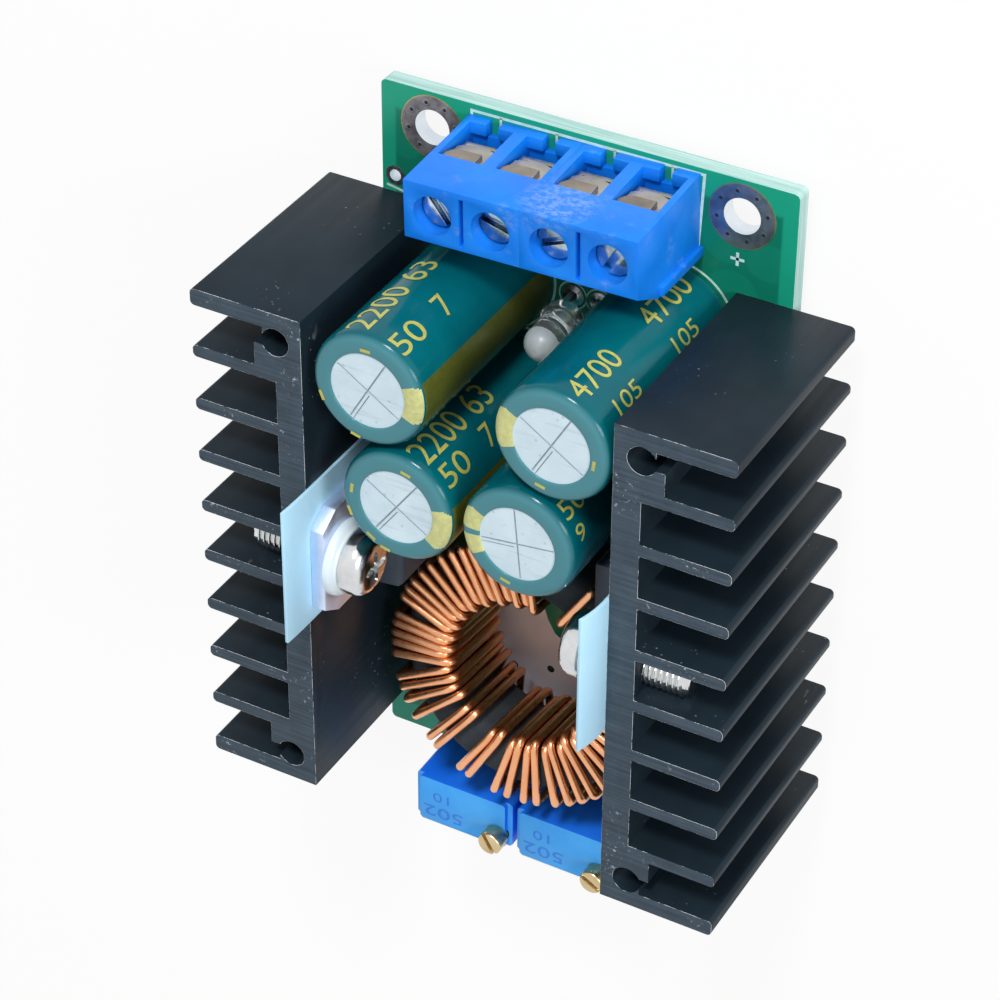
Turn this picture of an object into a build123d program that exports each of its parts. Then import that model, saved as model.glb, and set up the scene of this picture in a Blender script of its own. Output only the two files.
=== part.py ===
import os
from math import asin, cos, degrees, radians, sin, sqrt

from build123d import *

os.makedirs("parts", exist_ok=True)

# Circuit board. Its centre line lies along Y, and its components stand on its top face.
board_width = 36.8
board_length = 66.0
board_thickness = 1.6
board_corner = 0.5
solder_height = 1.3
solder_spread = 0.3
solder_sides = 8
solder_tip_share = 0.6
lead_gap = 0.1
fixing_hole_d = 3.2
fixing_hole_x = 13.7
fixing_hole_inset = 3.2
test_hole_d = 1.1
test_hole_x = -17.2
test_hole_inset = 8.6
trimmer_overhang = 0.4

board_top = solder_height + board_thickness
board_y = trimmer_overhang / 2
board_front = board_length / 2
board_back = -board_length / 2
fixing_hole_y = board_front - fixing_hole_inset
test_hole_y = board_front - test_hole_inset

# Heatsinks. Each is one extruded length, stood on end on the board with its fins outwards.
sink_inner_x = 13.6
sink_depth = 10.1
sink_length = 46.8
sink_height = 20.5
sink_y = -0.5
sink_base = 2.4
fin_count = 10
fin_thickness = 1.1
end_fin_thickness = 1.5
fin_tip_radius = 0.4
fin_root_radius = 0.45
channel_bore_d = 2.5
channel_depth = 2.35
channel_from_end = 2.6
channel_boss_reach = 4.3
channel_slot = 1.1
channel_lip_reach = 3.5

# Power devices. Each is clamped by its tab to the inner face of a heatsink, over a soft pad.
device_ys = {-1: -0.6, 1: -0.9}
pad_thickness = 0.3
pad_width = 13.0
pad_hole_d = 3.6
pad_ys = {-1: 0.6, 1: 0.1}
pad_bottom = 6.2
pad_tops = {-1: 24.15, 1: 23.95}
pad_leans = {-1: 0.12, 1: 0.57}
tab_width = 10.2
tab_thickness = 1.27
tab_height = 15.6
tab_top = 20.6
tab_cut_y = 1.23
tab_cut_z = 2.07
tab_hole_d = 3.9
tab_hole_drop = 2.8
case_width = 10.0
case_height = 9.05
case_depth = 4.5
case_draft = 4
case_edge = 0.35
lead_depth = 2.4
lead_width = 0.8
lead_thickness = 0.5
converter_lead_count = 5
converter_pitch = 1.7
rectifier_lead_count = 3
rectifier_pitch = 2.54

# Screws and insulating washers that hold the power devices.
screw_d = 3.0
screw_gap = 0.03
screw_past_base = 3.9
head_d = 5.6
head_height = 2.1
head_crown = 0.9
head_shoulder = 1.2
recess_width = 0.8
recess_length = 3.2
recess_depth = 1.1
washer_d = 6.6
washer_thickness = 1.1
washer_rim = 0.4
sleeve_length = 1.1
sleeve_gap = 0.05

# Radial capacitors.
can_d = 9.8
can_seat = 0.3
can_top = 20.35
can_edge = 0.7
wrap_thickness = 0.15
wrap_window_d = 6.6
wrap_shoulder = 0.9
wrap_shoulder_bend = 0.3
vent_width = 0.3
vent_depth = 0.12
vent_length = 6.0
can_pitch = 5.0
can_lead_d = 0.7
can_places = [(-7.7, 18.5), (-5.3, 8.3), (8.3, 18.9), (5.5, 8.7)]

# Terminal blocks. Two blocks of two ways stand side by side, wire entries towards +Y.
block_x = 0.0
block_pitch = 5.08
block_ways = 2
block_count = 2
block_height = 10.5
block_inset = 0.7
block_depth = 7.4
block_lean = 0.6
block_shoulder = 7.0
block_shoulder_depth = 1.75
block_skew = 1.3
cell_width = 3.9
cell_floor = 0.6
cell_top = 6.1
cell_back_wall = 1.8
cell_back_gap = 0.15
sill_depth = 1.1
sill_height = 1.0
sill_slot = 1.1
sill_cut = 0.2
clamp_well_top = 8.1
screw_row_inset = 4.2
screw_hole_d = 3.35
top_slot_width = 0.4
top_slot_length = 4.2
top_slot_depth = 2.0
rib_width = 0.35
rib_depth = 0.8
rib_inset = 0.6
rib_height = 6.9
rib_gap = 0.05

# Rising clamps inside the terminal blocks.
clamp_width = 3.4
clamp_wall = 0.4
clamp_roof = 0.7
clamp_floor = 0.5
clamp_rest = 2.05
clamp_inner_height = 2.85
clamp_setback = 1.2
clamp_travel = 1.8
clamp_screw_d = 2.45
clamp_thread_gap = 0.05
clamp_head_d = 3.1
clamp_head_top = 9.3
clamp_head_height = 1.05
slot_width = 0.6
slot_depth = 0.6
bar_thickness = 0.7
bar_clearance = 0.15
bar_side_gap = 0.2
tail_width = 1.0
tail_thickness = 0.5

block_front_foot = board_front - block_inset
block_front_top = block_front_foot - block_lean
block_back_foot = block_front_foot - block_depth
block_back_top = block_back_foot + block_shoulder_depth
screw_row_y = block_back_foot + screw_row_inset
rib_y = block_back_foot + rib_inset
cell_back = block_back_foot + cell_back_wall
clamp_front = block_front_foot - clamp_setback
clamp_back = cell_back + cell_back_gap + tail_thickness + bar_clearance

# Choke. A ring core lies almost flat, its -Y edge raised, with two strands wound on it.
choke_x = 0.3
choke_inset = 19.1
choke_tilt = 7.0
core_outer_d = 22.8
core_inner_d = 14.6
core_height = 7.5
core_edge = 0.8
wire_d = 0.92
wire_gap = 0.05
wire_sides = 8
turn_pitch = 8.4
turn_count = 34
first_turn = 88.0
lone_turn = 60.0
turn_spreads = {14: 7.0, 17: 12.0, 19: 6.0}

# Trimmers.
trimmer_length = 9.53
trimmer_depth = 4.83
trimmer_top = 10.33
trimmer_seat = 0.3
trimmer_xs = [-5.15, 4.83]
trimmer_step = 0.5
trimmer_edge = 0.25
trimmer_foot = 1.0
trimmer_screw_d = 2.2
trimmer_shaft_d = 1.7
trimmer_shaft_length = 6.5
trimmer_screw_gap = 0.05
trimmer_screw_rise = 1.5
trimmer_screw_inset_x = 1.27
trimmer_screw_inset_y = 1.27
trimmer_slot = 0.4
trimmer_screw_edge = 0.15
trimmer_pin_d = 0.6
trimmer_pin_pitch = 2.54

# Indicator lamp, stood off the board on its leads.
led_x = 0.5
led_y = 18.1
led_d = 3.0
led_flange_d = 3.8
led_flange = 1.0
led_height = 5.3
led_flat = 0.05
led_rise = 3.5
led_pitch = 2.54
led_lead = 0.5

# Surface-mount parts, under the choke's raised edge and beside it.
chip_rise = 0.1
chip_edge = 0.2
chip_leg_rise_share = 0.4
comparator_x = 4.8
comparator_offset = -8.7
comparator_size = (4.9, 3.9, 1.45)
comparator_span = 6.0
comparator_leg_count = 4
comparator_pitch = 1.27
comparator_leg = (0.42, 0.2)
reference_x = 10.6
reference_offset = -5.7
reference_size = (4.5, 2.5, 1.45)
reference_leg_count = 3
reference_pitch = 1.5
reference_leg = (0.45, 0.4)
reference_span = 4.1
shunt_x = 0.2
shunt_offset = 14.9
shunt_size = (6.3, 3.2, 0.6)
shunt_edge = 0.1
chip_size = (2.0, 1.25, 0.5)
chip_row_inset = 5.8
chip_row_start = -8.0
chip_row_pitch = 3.2
chip_row_count = 6


def board_plane(x, y, z=0.0):
    """A level plane at a place on the board, measured from the board's centre and top face."""
    return Plane(origin=(x, board_y + y, board_top + z))


def save(piece, name):
    piece.part.label = name
    export_step(piece.part, f"parts/{name}.step")


# Places of every lead that passes through the board: x, y and hole diameter.
lead_holes = []


def add_lead(x, y, size):
    lead_holes.append((x, y, size + 2 * lead_gap))


# Heatsinks


def make_sink(side, name):
    fin_pitch = (sink_length - end_fin_thickness) / (fin_count - 1)
    base_x = side * (sink_inner_x + sink_base)
    tip_x = side * (sink_inner_x + sink_depth)
    middle_x = side * (sink_inner_x + sink_depth / 2)
    foot = board_plane(0, sink_y)
    with BuildPart() as sink:
        with BuildSketch(foot) as section:
            with Locations((side * (sink_inner_x + sink_base / 2), 0)):
                Rectangle(sink_base, sink_length)
            for fin in range(fin_count):
                at_end = fin in (0, fin_count - 1)
                thickness = end_fin_thickness if at_end else fin_thickness
                with Locations((middle_x, (fin - (fin_count - 1) / 2) * fin_pitch)):
                    Rectangle(sink_depth, thickness)
            for end in (-1, 1):
                boss_y = end * (sink_length - end_fin_thickness - fin_pitch) / 2
                with Locations((side * (sink_inner_x + channel_boss_reach / 2), boss_y)):
                    Rectangle(channel_boss_reach, fin_pitch)
            tips = section.vertices().filter_by(lambda v: abs(v.X - tip_x) < 0.001)
            roots = section.vertices().filter_by(lambda v: abs(v.X - base_x) < 0.001)
            fillet(tips, fin_tip_radius)
            fillet(roots, fin_root_radius)
            for end in (-1, 1):
                bore_y = end * (sink_length / 2 - channel_from_end)
                with Locations((side * (sink_inner_x + channel_depth), bore_y)):
                    Circle(channel_bore_d / 2, mode=Mode.SUBTRACT)
                slot_length = channel_boss_reach - channel_depth
                slot_x = side * (sink_inner_x + channel_depth + slot_length / 2)
                with Locations((slot_x, bore_y)):
                    Rectangle(slot_length, channel_slot, mode=Mode.SUBTRACT)
                lip_length = channel_from_end - end_fin_thickness
                lip_y = end * (sink_length / 2 - end_fin_thickness - lip_length / 2)
                lip_cut = channel_boss_reach - channel_lip_reach
                lip_x = side * (sink_inner_x + channel_boss_reach - lip_cut / 2)
                with Locations((lip_x, lip_y)):
                    Rectangle(lip_cut, lip_length, mode=Mode.SUBTRACT)
        extrude(amount=sink_height)
        with BuildSketch(face_plane(side, 0)):
            with Locations((0, tab_top - tab_hole_drop)):
                Circle(screw_d / 2 + screw_gap)
        extrude(amount=-sink_base, mode=Mode.SUBTRACT)
    save(sink, name)


def face_plane(side, depth):
    """A plane on a heatsink's inner face, depth mm inwards: local y is up, local z is inwards."""
    return Plane(
        origin=(side * (sink_inner_x - depth), board_y + device_ys[side], board_top),
        x_dir=(0, -side, 0),
        z_dir=(-side, 0, 0),
    )


# Power devices


def make_pad(side, name):
    rise = pad_tops[side] - tab_top
    bend = (rise**2 + pad_leans[side] ** 2) / (2 * pad_leans[side])
    sweep_angle = degrees(asin(rise / bend))
    near_x = side * sink_inner_x - (pad_thickness if side > 0 else 0)
    far_x = near_x + pad_thickness
    middle = Plane(origin=(0, board_y + pad_ys[side], board_top), x_dir=(1, 0, 0), z_dir=(0, -1, 0))
    with BuildPart() as pad:
        with BuildSketch(middle):
            with BuildLine():
                Line((near_x, pad_bottom), (near_x, tab_top))
                near = JernArc((near_x, tab_top), (0, 1), bend - pad_thickness, sweep_angle)
                Line((near_x, pad_bottom), (far_x, pad_bottom))
                Line((far_x, pad_bottom), (far_x, tab_top))
                far = JernArc((far_x, tab_top), (0, 1), bend, sweep_angle)
                Line(near @ 1, far @ 1)
            make_face()
        extrude(amount=pad_width / 2, both=True)
        with BuildSketch(face_plane(side, 0)):
            with Locations((0, tab_top - tab_hole_drop)):
                Circle(pad_hole_d / 2)
        extrude(amount=pad_thickness, mode=Mode.SUBTRACT)
    save(pad, name)


def make_tab(side, name):
    with BuildPart() as tab:
        with BuildSketch(face_plane(side, pad_thickness)):
            with BuildLine():
                half = tab_width / 2
                Polyline(
                    (-half, tab_top - tab_height),
                    (half, tab_top - tab_height),
                    (half, tab_top - tab_cut_z),
                    (half - tab_cut_y, tab_top),
                    (tab_cut_y - half, tab_top),
                    (-half, tab_top - tab_cut_z),
                    close=True,
                )
            make_face()
            with Locations((0, tab_top - tab_hole_drop)):
                Circle(tab_hole_d / 2, mode=Mode.SUBTRACT)
        extrude(amount=tab_thickness)
    save(tab, name)


def make_case(side, name):
    moulding_depth = case_depth - tab_thickness
    with BuildPart() as case:
        with BuildSketch(face_plane(side, pad_thickness + tab_thickness)):
            with Locations((0, tab_top - tab_height + case_height / 2)):
                Rectangle(case_width, case_height)
        extrude(amount=moulding_depth, taper=case_draft)
        front = case.faces().sort_by(Axis.X)[0 if side > 0 else -1]
        chamfer(front.edges(), case_edge)
    save(case, name)


def make_leads(side, count, pitch, name):
    row_x = side * (sink_inner_x - pad_thickness - lead_depth)
    length = tab_top - tab_height + board_thickness
    with BuildPart() as leads:
        for lead in range(count):
            offset = (lead - (count - 1) / 2) * pitch
            lead_y = device_ys[side] + offset
            add_lead(row_x, lead_y, lead_width)
            with BuildSketch(board_plane(row_x, lead_y, -board_thickness)):
                Rectangle(lead_thickness, lead_width)
            extrude(amount=length)
    save(leads, name)


def make_washer(side, name):
    with BuildPart() as washer:
        with BuildSketch(face_plane(side, pad_thickness + tab_thickness)) as disc:
            with Locations((0, tab_top - tab_hole_drop)):
                Circle(washer_d / 2)
        extrude(amount=washer_thickness)
        rim = washer.edges().filter_by(GeomType.CIRCLE).sort_by(Axis.X)[0 if side > 0 else -1]
        chamfer(rim, washer_rim)
        with BuildSketch(face_plane(side, pad_thickness + tab_thickness)):
            with Locations((0, tab_top - tab_hole_drop)):
                Circle(tab_hole_d / 2 - sleeve_gap)
        extrude(amount=-sleeve_length)
        with BuildSketch(face_plane(side, pad_thickness + tab_thickness - sleeve_length)):
            with Locations((0, tab_top - tab_hole_drop)):
                Circle(screw_d / 2 + screw_gap)
        extrude(amount=washer_thickness + sleeve_length, mode=Mode.SUBTRACT)
    save(washer, name)


def make_screw(side, name):
    seat = pad_thickness + tab_thickness + washer_thickness
    with BuildPart() as screw:
        with BuildSketch(face_plane(side, seat)):
            with Locations((0, tab_top - tab_hole_drop)):
                Circle(head_d / 2)
        extrude(amount=head_height)
        crown = screw.edges().filter_by(GeomType.CIRCLE).sort_by(Axis.X)[0 if side > 0 else -1]
        chamfer(crown, head_crown, head_shoulder)
        with BuildSketch(face_plane(side, seat + head_height - recess_depth)):
            with Locations((0, tab_top - tab_hole_drop)):
                Rectangle(recess_width, recess_length)
                Rectangle(recess_length, recess_width)
        extrude(amount=recess_depth, mode=Mode.SUBTRACT)
        with BuildSketch(face_plane(side, seat)):
            with Locations((0, tab_top - tab_hole_drop)):
                Circle(screw_d / 2)
        extrude(amount=-(seat + sink_base + screw_past_base))
    save(screw, name)


# Capacitors


def make_capacitor(place, number):
    x, y = place
    can_r = can_d / 2
    with BuildPart() as can:
        with BuildSketch(board_plane(x, y, can_seat)):
            Circle(can_r)
        extrude(amount=can_top - can_seat)
        with BuildSketch(board_plane(x, y, can_top - vent_depth)):
            Rectangle(vent_width, vent_length, rotation=45)
            Rectangle(vent_width, vent_length, rotation=-45)
        extrude(amount=vent_depth, mode=Mode.SUBTRACT)
        shoulder = can.edges().filter_by(GeomType.CIRCLE).sort_by(Axis.Z)[-1]
        chamfer(shoulder, can_edge)
        for end in (-1, 1):
            with BuildSketch(board_plane(x, y + end * can_pitch / 2, -board_thickness)):
                RegularPolygon(can_lead_d / 2, solder_sides)
            extrude(amount=board_thickness + can_seat)
            add_lead(x, y + end * can_pitch / 2, can_lead_d)
    save(can, f"capacitor_{number}")

    wrap_r = can_r + wrap_thickness
    profile = Plane(origin=(x, board_y + y, board_top), x_dir=(1, 0, 0), z_dir=(0, -1, 0))
    axis = Axis((x, board_y + y, board_top), (0, 0, 1))
    with BuildPart() as wrap:
        with BuildSketch(profile):
            with BuildLine():
                top = can_top + wrap_thickness
                corner = wrap_r - wrap_shoulder
                inner_corner = can_r - can_edge
                Line((can_r, can_seat), (wrap_r, can_seat))
                Line((wrap_r, can_seat), (wrap_r, top - wrap_shoulder))
                Polyline(
                    (wrap_r, top - wrap_shoulder),
                    (wrap_r - wrap_shoulder_bend, top - wrap_shoulder_bend),
                    (corner, top),
                    (wrap_window_d / 2, top),
                )
                Line((wrap_window_d / 2, top), (wrap_window_d / 2, can_top))
                Line((wrap_window_d / 2, can_top), (inner_corner, can_top))
                Line((inner_corner, can_top), (can_r, can_top - can_edge))
                Line((can_r, can_top - can_edge), (can_r, can_seat))
            make_face()
        revolve(axis=axis)
    save(wrap, f"capacitor_wrap_{number}")


# Terminal blocks


def block_plane(way_x, y, z):
    """A level plane in a terminal block's own frame, which is turned a little on the board."""
    turn = radians(block_skew)
    centre_y = (block_front_foot + block_back_foot) / 2
    offset = y - centre_y
    x = block_x + way_x * cos(turn) - offset * sin(turn)
    y = centre_y + way_x * sin(turn) + offset * cos(turn)
    return Plane(
        origin=(x, board_y + y, board_top + z),
        x_dir=(cos(turn), sin(turn), 0),
        z_dir=(0, 0, 1),
    )


def end_plane(way_x, y):
    """A plane across a terminal block, whose local x runs towards +Y and local y upwards."""
    turn = radians(block_skew)
    level = block_plane(way_x, y, 0)
    return Plane(
        origin=level.origin,
        x_dir=(-sin(turn), cos(turn), 0),
        z_dir=(cos(turn), sin(turn), 0),
    )


block_width = block_pitch * block_ways
way_count = block_count * block_ways
way_xs = [(way - (way_count - 1) / 2) * block_pitch for way in range(way_count)]


def make_block(number):
    left_x = (number - block_count / 2) * block_width
    ways = [x for x in way_xs if left_x < x < left_x + block_width]
    with BuildPart() as block:
        with BuildSketch(end_plane(left_x, 0)):
            with BuildLine():
                Polyline(
                    (block_back_foot, 0),
                    (block_front_foot, 0),
                    (block_front_top, block_height),
                    (block_back_top, block_height),
                    (block_back_foot, block_shoulder),
                    close=True,
                )
            make_face()
        extrude(amount=block_width)
        with BuildSketch(block_plane(left_x + block_width / 2, screw_row_y, block_height - top_slot_depth)):
            Rectangle(top_slot_width, top_slot_length)
        extrude(amount=top_slot_depth, mode=Mode.SUBTRACT)
        with BuildSketch(block_plane(left_x + block_width + rib_width / 2, rib_y, 0)):
            Rectangle(rib_width, rib_depth)
        extrude(amount=rib_height)
        with BuildSketch(block_plane(left_x + (rib_width + rib_gap) / 2, rib_y, 0)):
            Rectangle(rib_width + rib_gap, rib_depth + 2 * rib_gap)
        extrude(amount=rib_height + rib_gap, mode=Mode.SUBTRACT)
        for x in ways:
            with BuildSketch(end_plane(x - cell_width / 2, 0)):
                with BuildLine():
                    Polyline(
                        (cell_back, cell_floor),
                        (block_front_foot - sill_depth, cell_floor),
                        (block_front_foot - sill_depth, sill_height),
                        (block_front_foot + sill_cut, sill_height),
                        (block_front_foot + sill_cut, cell_top),
                        (clamp_front + bar_clearance, cell_top),
                        (clamp_front + bar_clearance, clamp_well_top),
                        (cell_back, clamp_well_top),
                        close=True,
                    )
                make_face()
            extrude(amount=cell_width, mode=Mode.SUBTRACT)
            with BuildSketch(block_plane(x, block_front_foot - sill_depth / 2, 0)):
                Rectangle(sill_slot, sill_depth + 2 * sill_cut)
            extrude(amount=sill_height, mode=Mode.SUBTRACT)
            with BuildSketch(block_plane(x, screw_row_y, clamp_well_top)):
                Circle(screw_hole_d / 2)
            extrude(amount=block_height - clamp_well_top, mode=Mode.SUBTRACT)
            with BuildSketch(block_plane(x, clamp_back - bar_clearance - tail_thickness / 2, 0)):
                Rectangle(tail_width + 2 * lead_gap, tail_thickness + 2 * lead_gap)
            extrude(amount=cell_floor, mode=Mode.SUBTRACT)
    save(block, f"terminal_block_{number + 1}")


def make_clamp(way, x):
    bar_top = clamp_rest + clamp_floor + clamp_inner_height - bar_clearance
    clamp_length = clamp_front - clamp_back
    clamp_y = (clamp_front + clamp_back) / 2
    clamp_height = clamp_floor + clamp_inner_height + clamp_roof
    with BuildPart() as clamp:
        with BuildSketch(block_plane(x, clamp_y, clamp_rest)):
            Rectangle(clamp_width, clamp_length)
        extrude(amount=clamp_height)
        with BuildSketch(block_plane(x, clamp_y, clamp_rest + clamp_floor)):
            Rectangle(clamp_width - 2 * clamp_wall, clamp_length)
        extrude(amount=clamp_inner_height, mode=Mode.SUBTRACT)
        with BuildSketch(block_plane(x, screw_row_y, clamp_rest + clamp_height - clamp_roof)):
            Circle(clamp_screw_d / 2 + clamp_thread_gap)
        extrude(amount=clamp_roof, mode=Mode.SUBTRACT)
    save(clamp, f"wire_clamp_{way}")

    with BuildPart() as screw:
        with BuildSketch(block_plane(x, screw_row_y, bar_top)):
            Circle(clamp_screw_d / 2)
        extrude(amount=clamp_head_top - clamp_head_height - bar_top)
        with BuildSketch(block_plane(x, screw_row_y, clamp_head_top - clamp_head_height)):
            Circle(clamp_head_d / 2)
        extrude(amount=clamp_head_height)
        with BuildSketch(block_plane(x, screw_row_y, clamp_head_top - slot_depth)):
            Rectangle(slot_width, clamp_head_d, rotation=way * 37)
        extrude(amount=slot_depth, mode=Mode.SUBTRACT)
    save(screw, f"terminal_screw_{way}")

    tail_y = clamp_back - bar_clearance - tail_thickness / 2
    bar_width = clamp_width - 2 * clamp_wall - 2 * bar_side_gap
    bar_back = tail_y - tail_thickness / 2
    with BuildPart() as contact:
        with BuildSketch(block_plane(x, (clamp_front + bar_back) / 2, bar_top - bar_thickness)):
            Rectangle(bar_width, clamp_front - bar_back)
        extrude(amount=bar_thickness)
        with BuildSketch(block_plane(x, tail_y, -board_thickness)):
            Rectangle(tail_width, tail_thickness)
        extrude(amount=board_thickness + bar_top)
    save(contact, f"terminal_contact_{way}")
    tail = block_plane(x, tail_y, 0).origin
    add_lead(tail.X, tail.Y - board_y, tail_width)


# Choke


choke_y = board_back + choke_inset
wound_outer_r = core_outer_d / 2 + wire_gap + wire_d
wound_height = core_height + 2 * (wire_gap + wire_d)
choke_z = wound_height / 2 * cos(radians(choke_tilt)) + wound_outer_r * sin(radians(choke_tilt))
choke_plane = Plane(
    origin=(choke_x, board_y + choke_y, board_top + choke_z),
    x_dir=(1, 0, 0),
    z_dir=(0, sin(radians(choke_tilt)), cos(radians(choke_tilt))),
)


def make_core():
    with BuildPart() as core:
        with BuildSketch(choke_plane.offset(-core_height / 2)):
            Circle(core_outer_d / 2)
            Circle(core_inner_d / 2, mode=Mode.SUBTRACT)
        extrude(amount=core_height)
        chamfer(core.edges().filter_by(GeomType.CIRCLE), core_edge)
    save(core, "choke_core")


def turn_angles():
    """The angle of each turn in degrees: a lone one, then the rest with a few wider spaces."""
    angles = [lone_turn]
    angle = first_turn
    for turn in range(1, turn_count + 1):
        angles.append(angle)
        angle += turn_pitch + turn_spreads.get(turn, 0.0)
    return angles


def ring_point(radius, angle, height):
    local = Vector(radius * cos(radians(angle)), radius * sin(radians(angle)), height)
    return choke_plane.from_local_coords(local)


def strand_points(angles):
    outer_r = core_outer_d / 2 + wire_gap + wire_d / 2
    inner_r = core_inner_d / 2 - wire_gap - wire_d / 2
    level = core_height / 2 + wire_gap + wire_d / 2
    foot = ring_point(outer_r, angles[0], -level)
    points = [Vector(foot.X, foot.Y, solder_height)]
    points.append(foot)
    for angle, following in zip(angles, angles[1:] + [angles[-1] + 2 * turn_pitch]):
        spread = 0 if angle == lone_turn else following - angle - 2 * turn_pitch
        points.append(ring_point(outer_r, angle, level))
        points.append(ring_point(inner_r, angle + turn_pitch, level))
        points.append(ring_point(inner_r, angle + turn_pitch + spread / 2, -level))
        points.append(ring_point(outer_r, following - spread / 2, -level))
    last = points[-1]
    points.append(Vector(last.X, last.Y, solder_height))
    return points


def make_winding():
    angles = turn_angles()
    with BuildPart() as winding:
        for strand in (0, 1):
            points = strand_points(angles[strand::2])
            add_lead(points[0].X, points[0].Y - board_y, wire_d)
            add_lead(points[-1].X, points[-1].Y - board_y, wire_d)
            with BuildLine() as route:
                Polyline(*points)
            with BuildSketch(Plane(origin=points[0], z_dir=points[1] - points[0])):
                RegularPolygon(wire_d / 2, wire_sides)
            sweep(path=route.line, transition=Transition.RIGHT)
    save(winding, "choke_winding")


# Trimmers


trimmer_y = board_back + trimmer_depth / 2 - trimmer_overhang


def make_trimmer(x, number):
    screw_x = x + trimmer_length / 2 - trimmer_screw_inset_x
    screw_y = trimmer_y - trimmer_depth / 2 + trimmer_screw_inset_y
    with BuildPart() as body:
        with BuildSketch(board_plane(x, trimmer_y, trimmer_seat)):
            Rectangle(trimmer_length, trimmer_depth)
        extrude(amount=trimmer_top - trimmer_seat)
        with BuildSketch(board_plane(x, trimmer_y, trimmer_top - trimmer_step)):
            with GridLocations(trimmer_length, 0, 2, 1):
                Rectangle(2 * trimmer_step, trimmer_depth)
        extrude(amount=trimmer_step, mode=Mode.SUBTRACT)
        chamfer(body.edges().filter_by(Axis.Z), trimmer_edge)
        with BuildSketch(board_plane(screw_x, screw_y, trimmer_top - trimmer_shaft_length)):
            Circle(trimmer_shaft_d / 2 + trimmer_screw_gap)
        extrude(amount=trimmer_shaft_length, mode=Mode.SUBTRACT)
        for corner in ((-1, -1), (-1, 1), (1, -1), (1, 1)):
            foot_x = x + corner[0] * (trimmer_length / 2 - trimmer_foot)
            foot_y = trimmer_y + corner[1] * (trimmer_depth / 2 - trimmer_foot)
            with BuildSketch(board_plane(foot_x, foot_y)):
                Rectangle(trimmer_foot, trimmer_foot)
            extrude(amount=trimmer_seat)
    save(body, f"trimmer_{number}")

    with BuildPart() as screw:
        with BuildSketch(board_plane(screw_x, screw_y, trimmer_top + trimmer_screw_gap)):
            Circle(trimmer_screw_d / 2)
        extrude(amount=trimmer_screw_rise)
        chamfer(screw.edges().filter_by(GeomType.CIRCLE).sort_by(Axis.Z)[-1], trimmer_screw_edge)
        with BuildSketch(board_plane(screw_x, screw_y, trimmer_top + trimmer_screw_rise - trimmer_slot)):
            Rectangle(trimmer_slot, trimmer_screw_d, rotation=30 * number)
        extrude(amount=2 * trimmer_slot, mode=Mode.SUBTRACT)
        with BuildSketch(board_plane(screw_x, screw_y, trimmer_top + trimmer_screw_gap)):
            Circle(trimmer_shaft_d / 2)
        extrude(amount=-trimmer_shaft_length)
    save(screw, f"trimmer_screw_{number}")

    with BuildPart() as pins:
        for step in (-1, 0, 1):
            pin_x = x + step * trimmer_pin_pitch
            with BuildSketch(board_plane(pin_x, trimmer_y, -board_thickness)):
                RegularPolygon(trimmer_pin_d / 2, solder_sides)
            extrude(amount=board_thickness + trimmer_seat)
            add_lead(pin_x, trimmer_y, trimmer_pin_d)
    save(pins, f"trimmer_pins_{number}")


# Indicator lamp


def make_led():
    with BuildPart() as lens:
        with BuildSketch(board_plane(led_x, led_y, led_rise)):
            Circle(led_flange_d / 2)
        extrude(amount=led_flange)
        with BuildSketch(board_plane(led_x, led_y, led_rise)):
            Circle(led_d / 2)
        extrude(amount=led_height)
        fillet(lens.edges().filter_by(GeomType.CIRCLE).sort_by(Axis.Z)[-1], led_d / 2 - led_flat)
    save(lens, "indicator_led")
    with BuildPart() as leads:
        for end in (-1, 1):
            lead_x = led_x + end * led_pitch / 2
            with BuildSketch(board_plane(lead_x, led_y, -board_thickness)):
                Rectangle(led_lead, led_lead)
            extrude(amount=board_thickness + led_rise)
            add_lead(lead_x, led_y, led_lead * sqrt(2))
    save(leads, "indicator_leads")


# Surface-mount parts


def make_chip(name, place, size, legs, pitch, span, leg):
    """A small moulded package whose flat legs stand on the board along its two long sides."""
    leg_width, leg_thickness = leg
    x, y = place
    with BuildPart() as chip:
        with BuildSketch(board_plane(x, y, chip_rise)):
            Rectangle(size[0], size[1])
        extrude(amount=size[2])
        chamfer(chip.edges().group_by(Axis.Z)[-1], chip_edge)
    save(chip, name)
    with BuildPart() as feet:
        for side in (-1, 1):
            foot_length = (span - size[1]) / 2
            foot_y = y + side * (size[1] + foot_length) / 2
            for step in range(legs):
                foot_x = x + (step - (legs - 1) / 2) * pitch
                with BuildSketch(board_plane(foot_x, foot_y)):
                    Rectangle(leg_width, foot_length)
                extrude(amount=leg_thickness)
                rise_length = foot_length * chip_leg_rise_share
                rise_y = y + side * (size[1] + rise_length) / 2
                with BuildSketch(board_plane(foot_x, rise_y)):
                    Rectangle(leg_width, rise_length)
                extrude(amount=chip_rise + size[2] / 2)
    save(feet, f"{name}_legs")


def make_shunt():
    with BuildPart() as shunt:
        with BuildSketch(board_plane(shunt_x, choke_y + shunt_offset)):
            Rectangle(shunt_size[0], shunt_size[1])
        extrude(amount=shunt_size[2])
        chamfer(shunt.edges().group_by(Axis.Z)[-1], shunt_edge)
    save(shunt, "current_shunt")


def make_chip_row():
    with BuildPart() as chips:
        for step in range(chip_row_count):
            chip_x = chip_row_start + step * chip_row_pitch
            with BuildSketch(board_plane(chip_x, board_back + chip_row_inset)):
                Rectangle(chip_size[0], chip_size[1])
            extrude(amount=chip_size[2])
    save(chips, "chip_resistors")


# Board and solder joints


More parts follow.
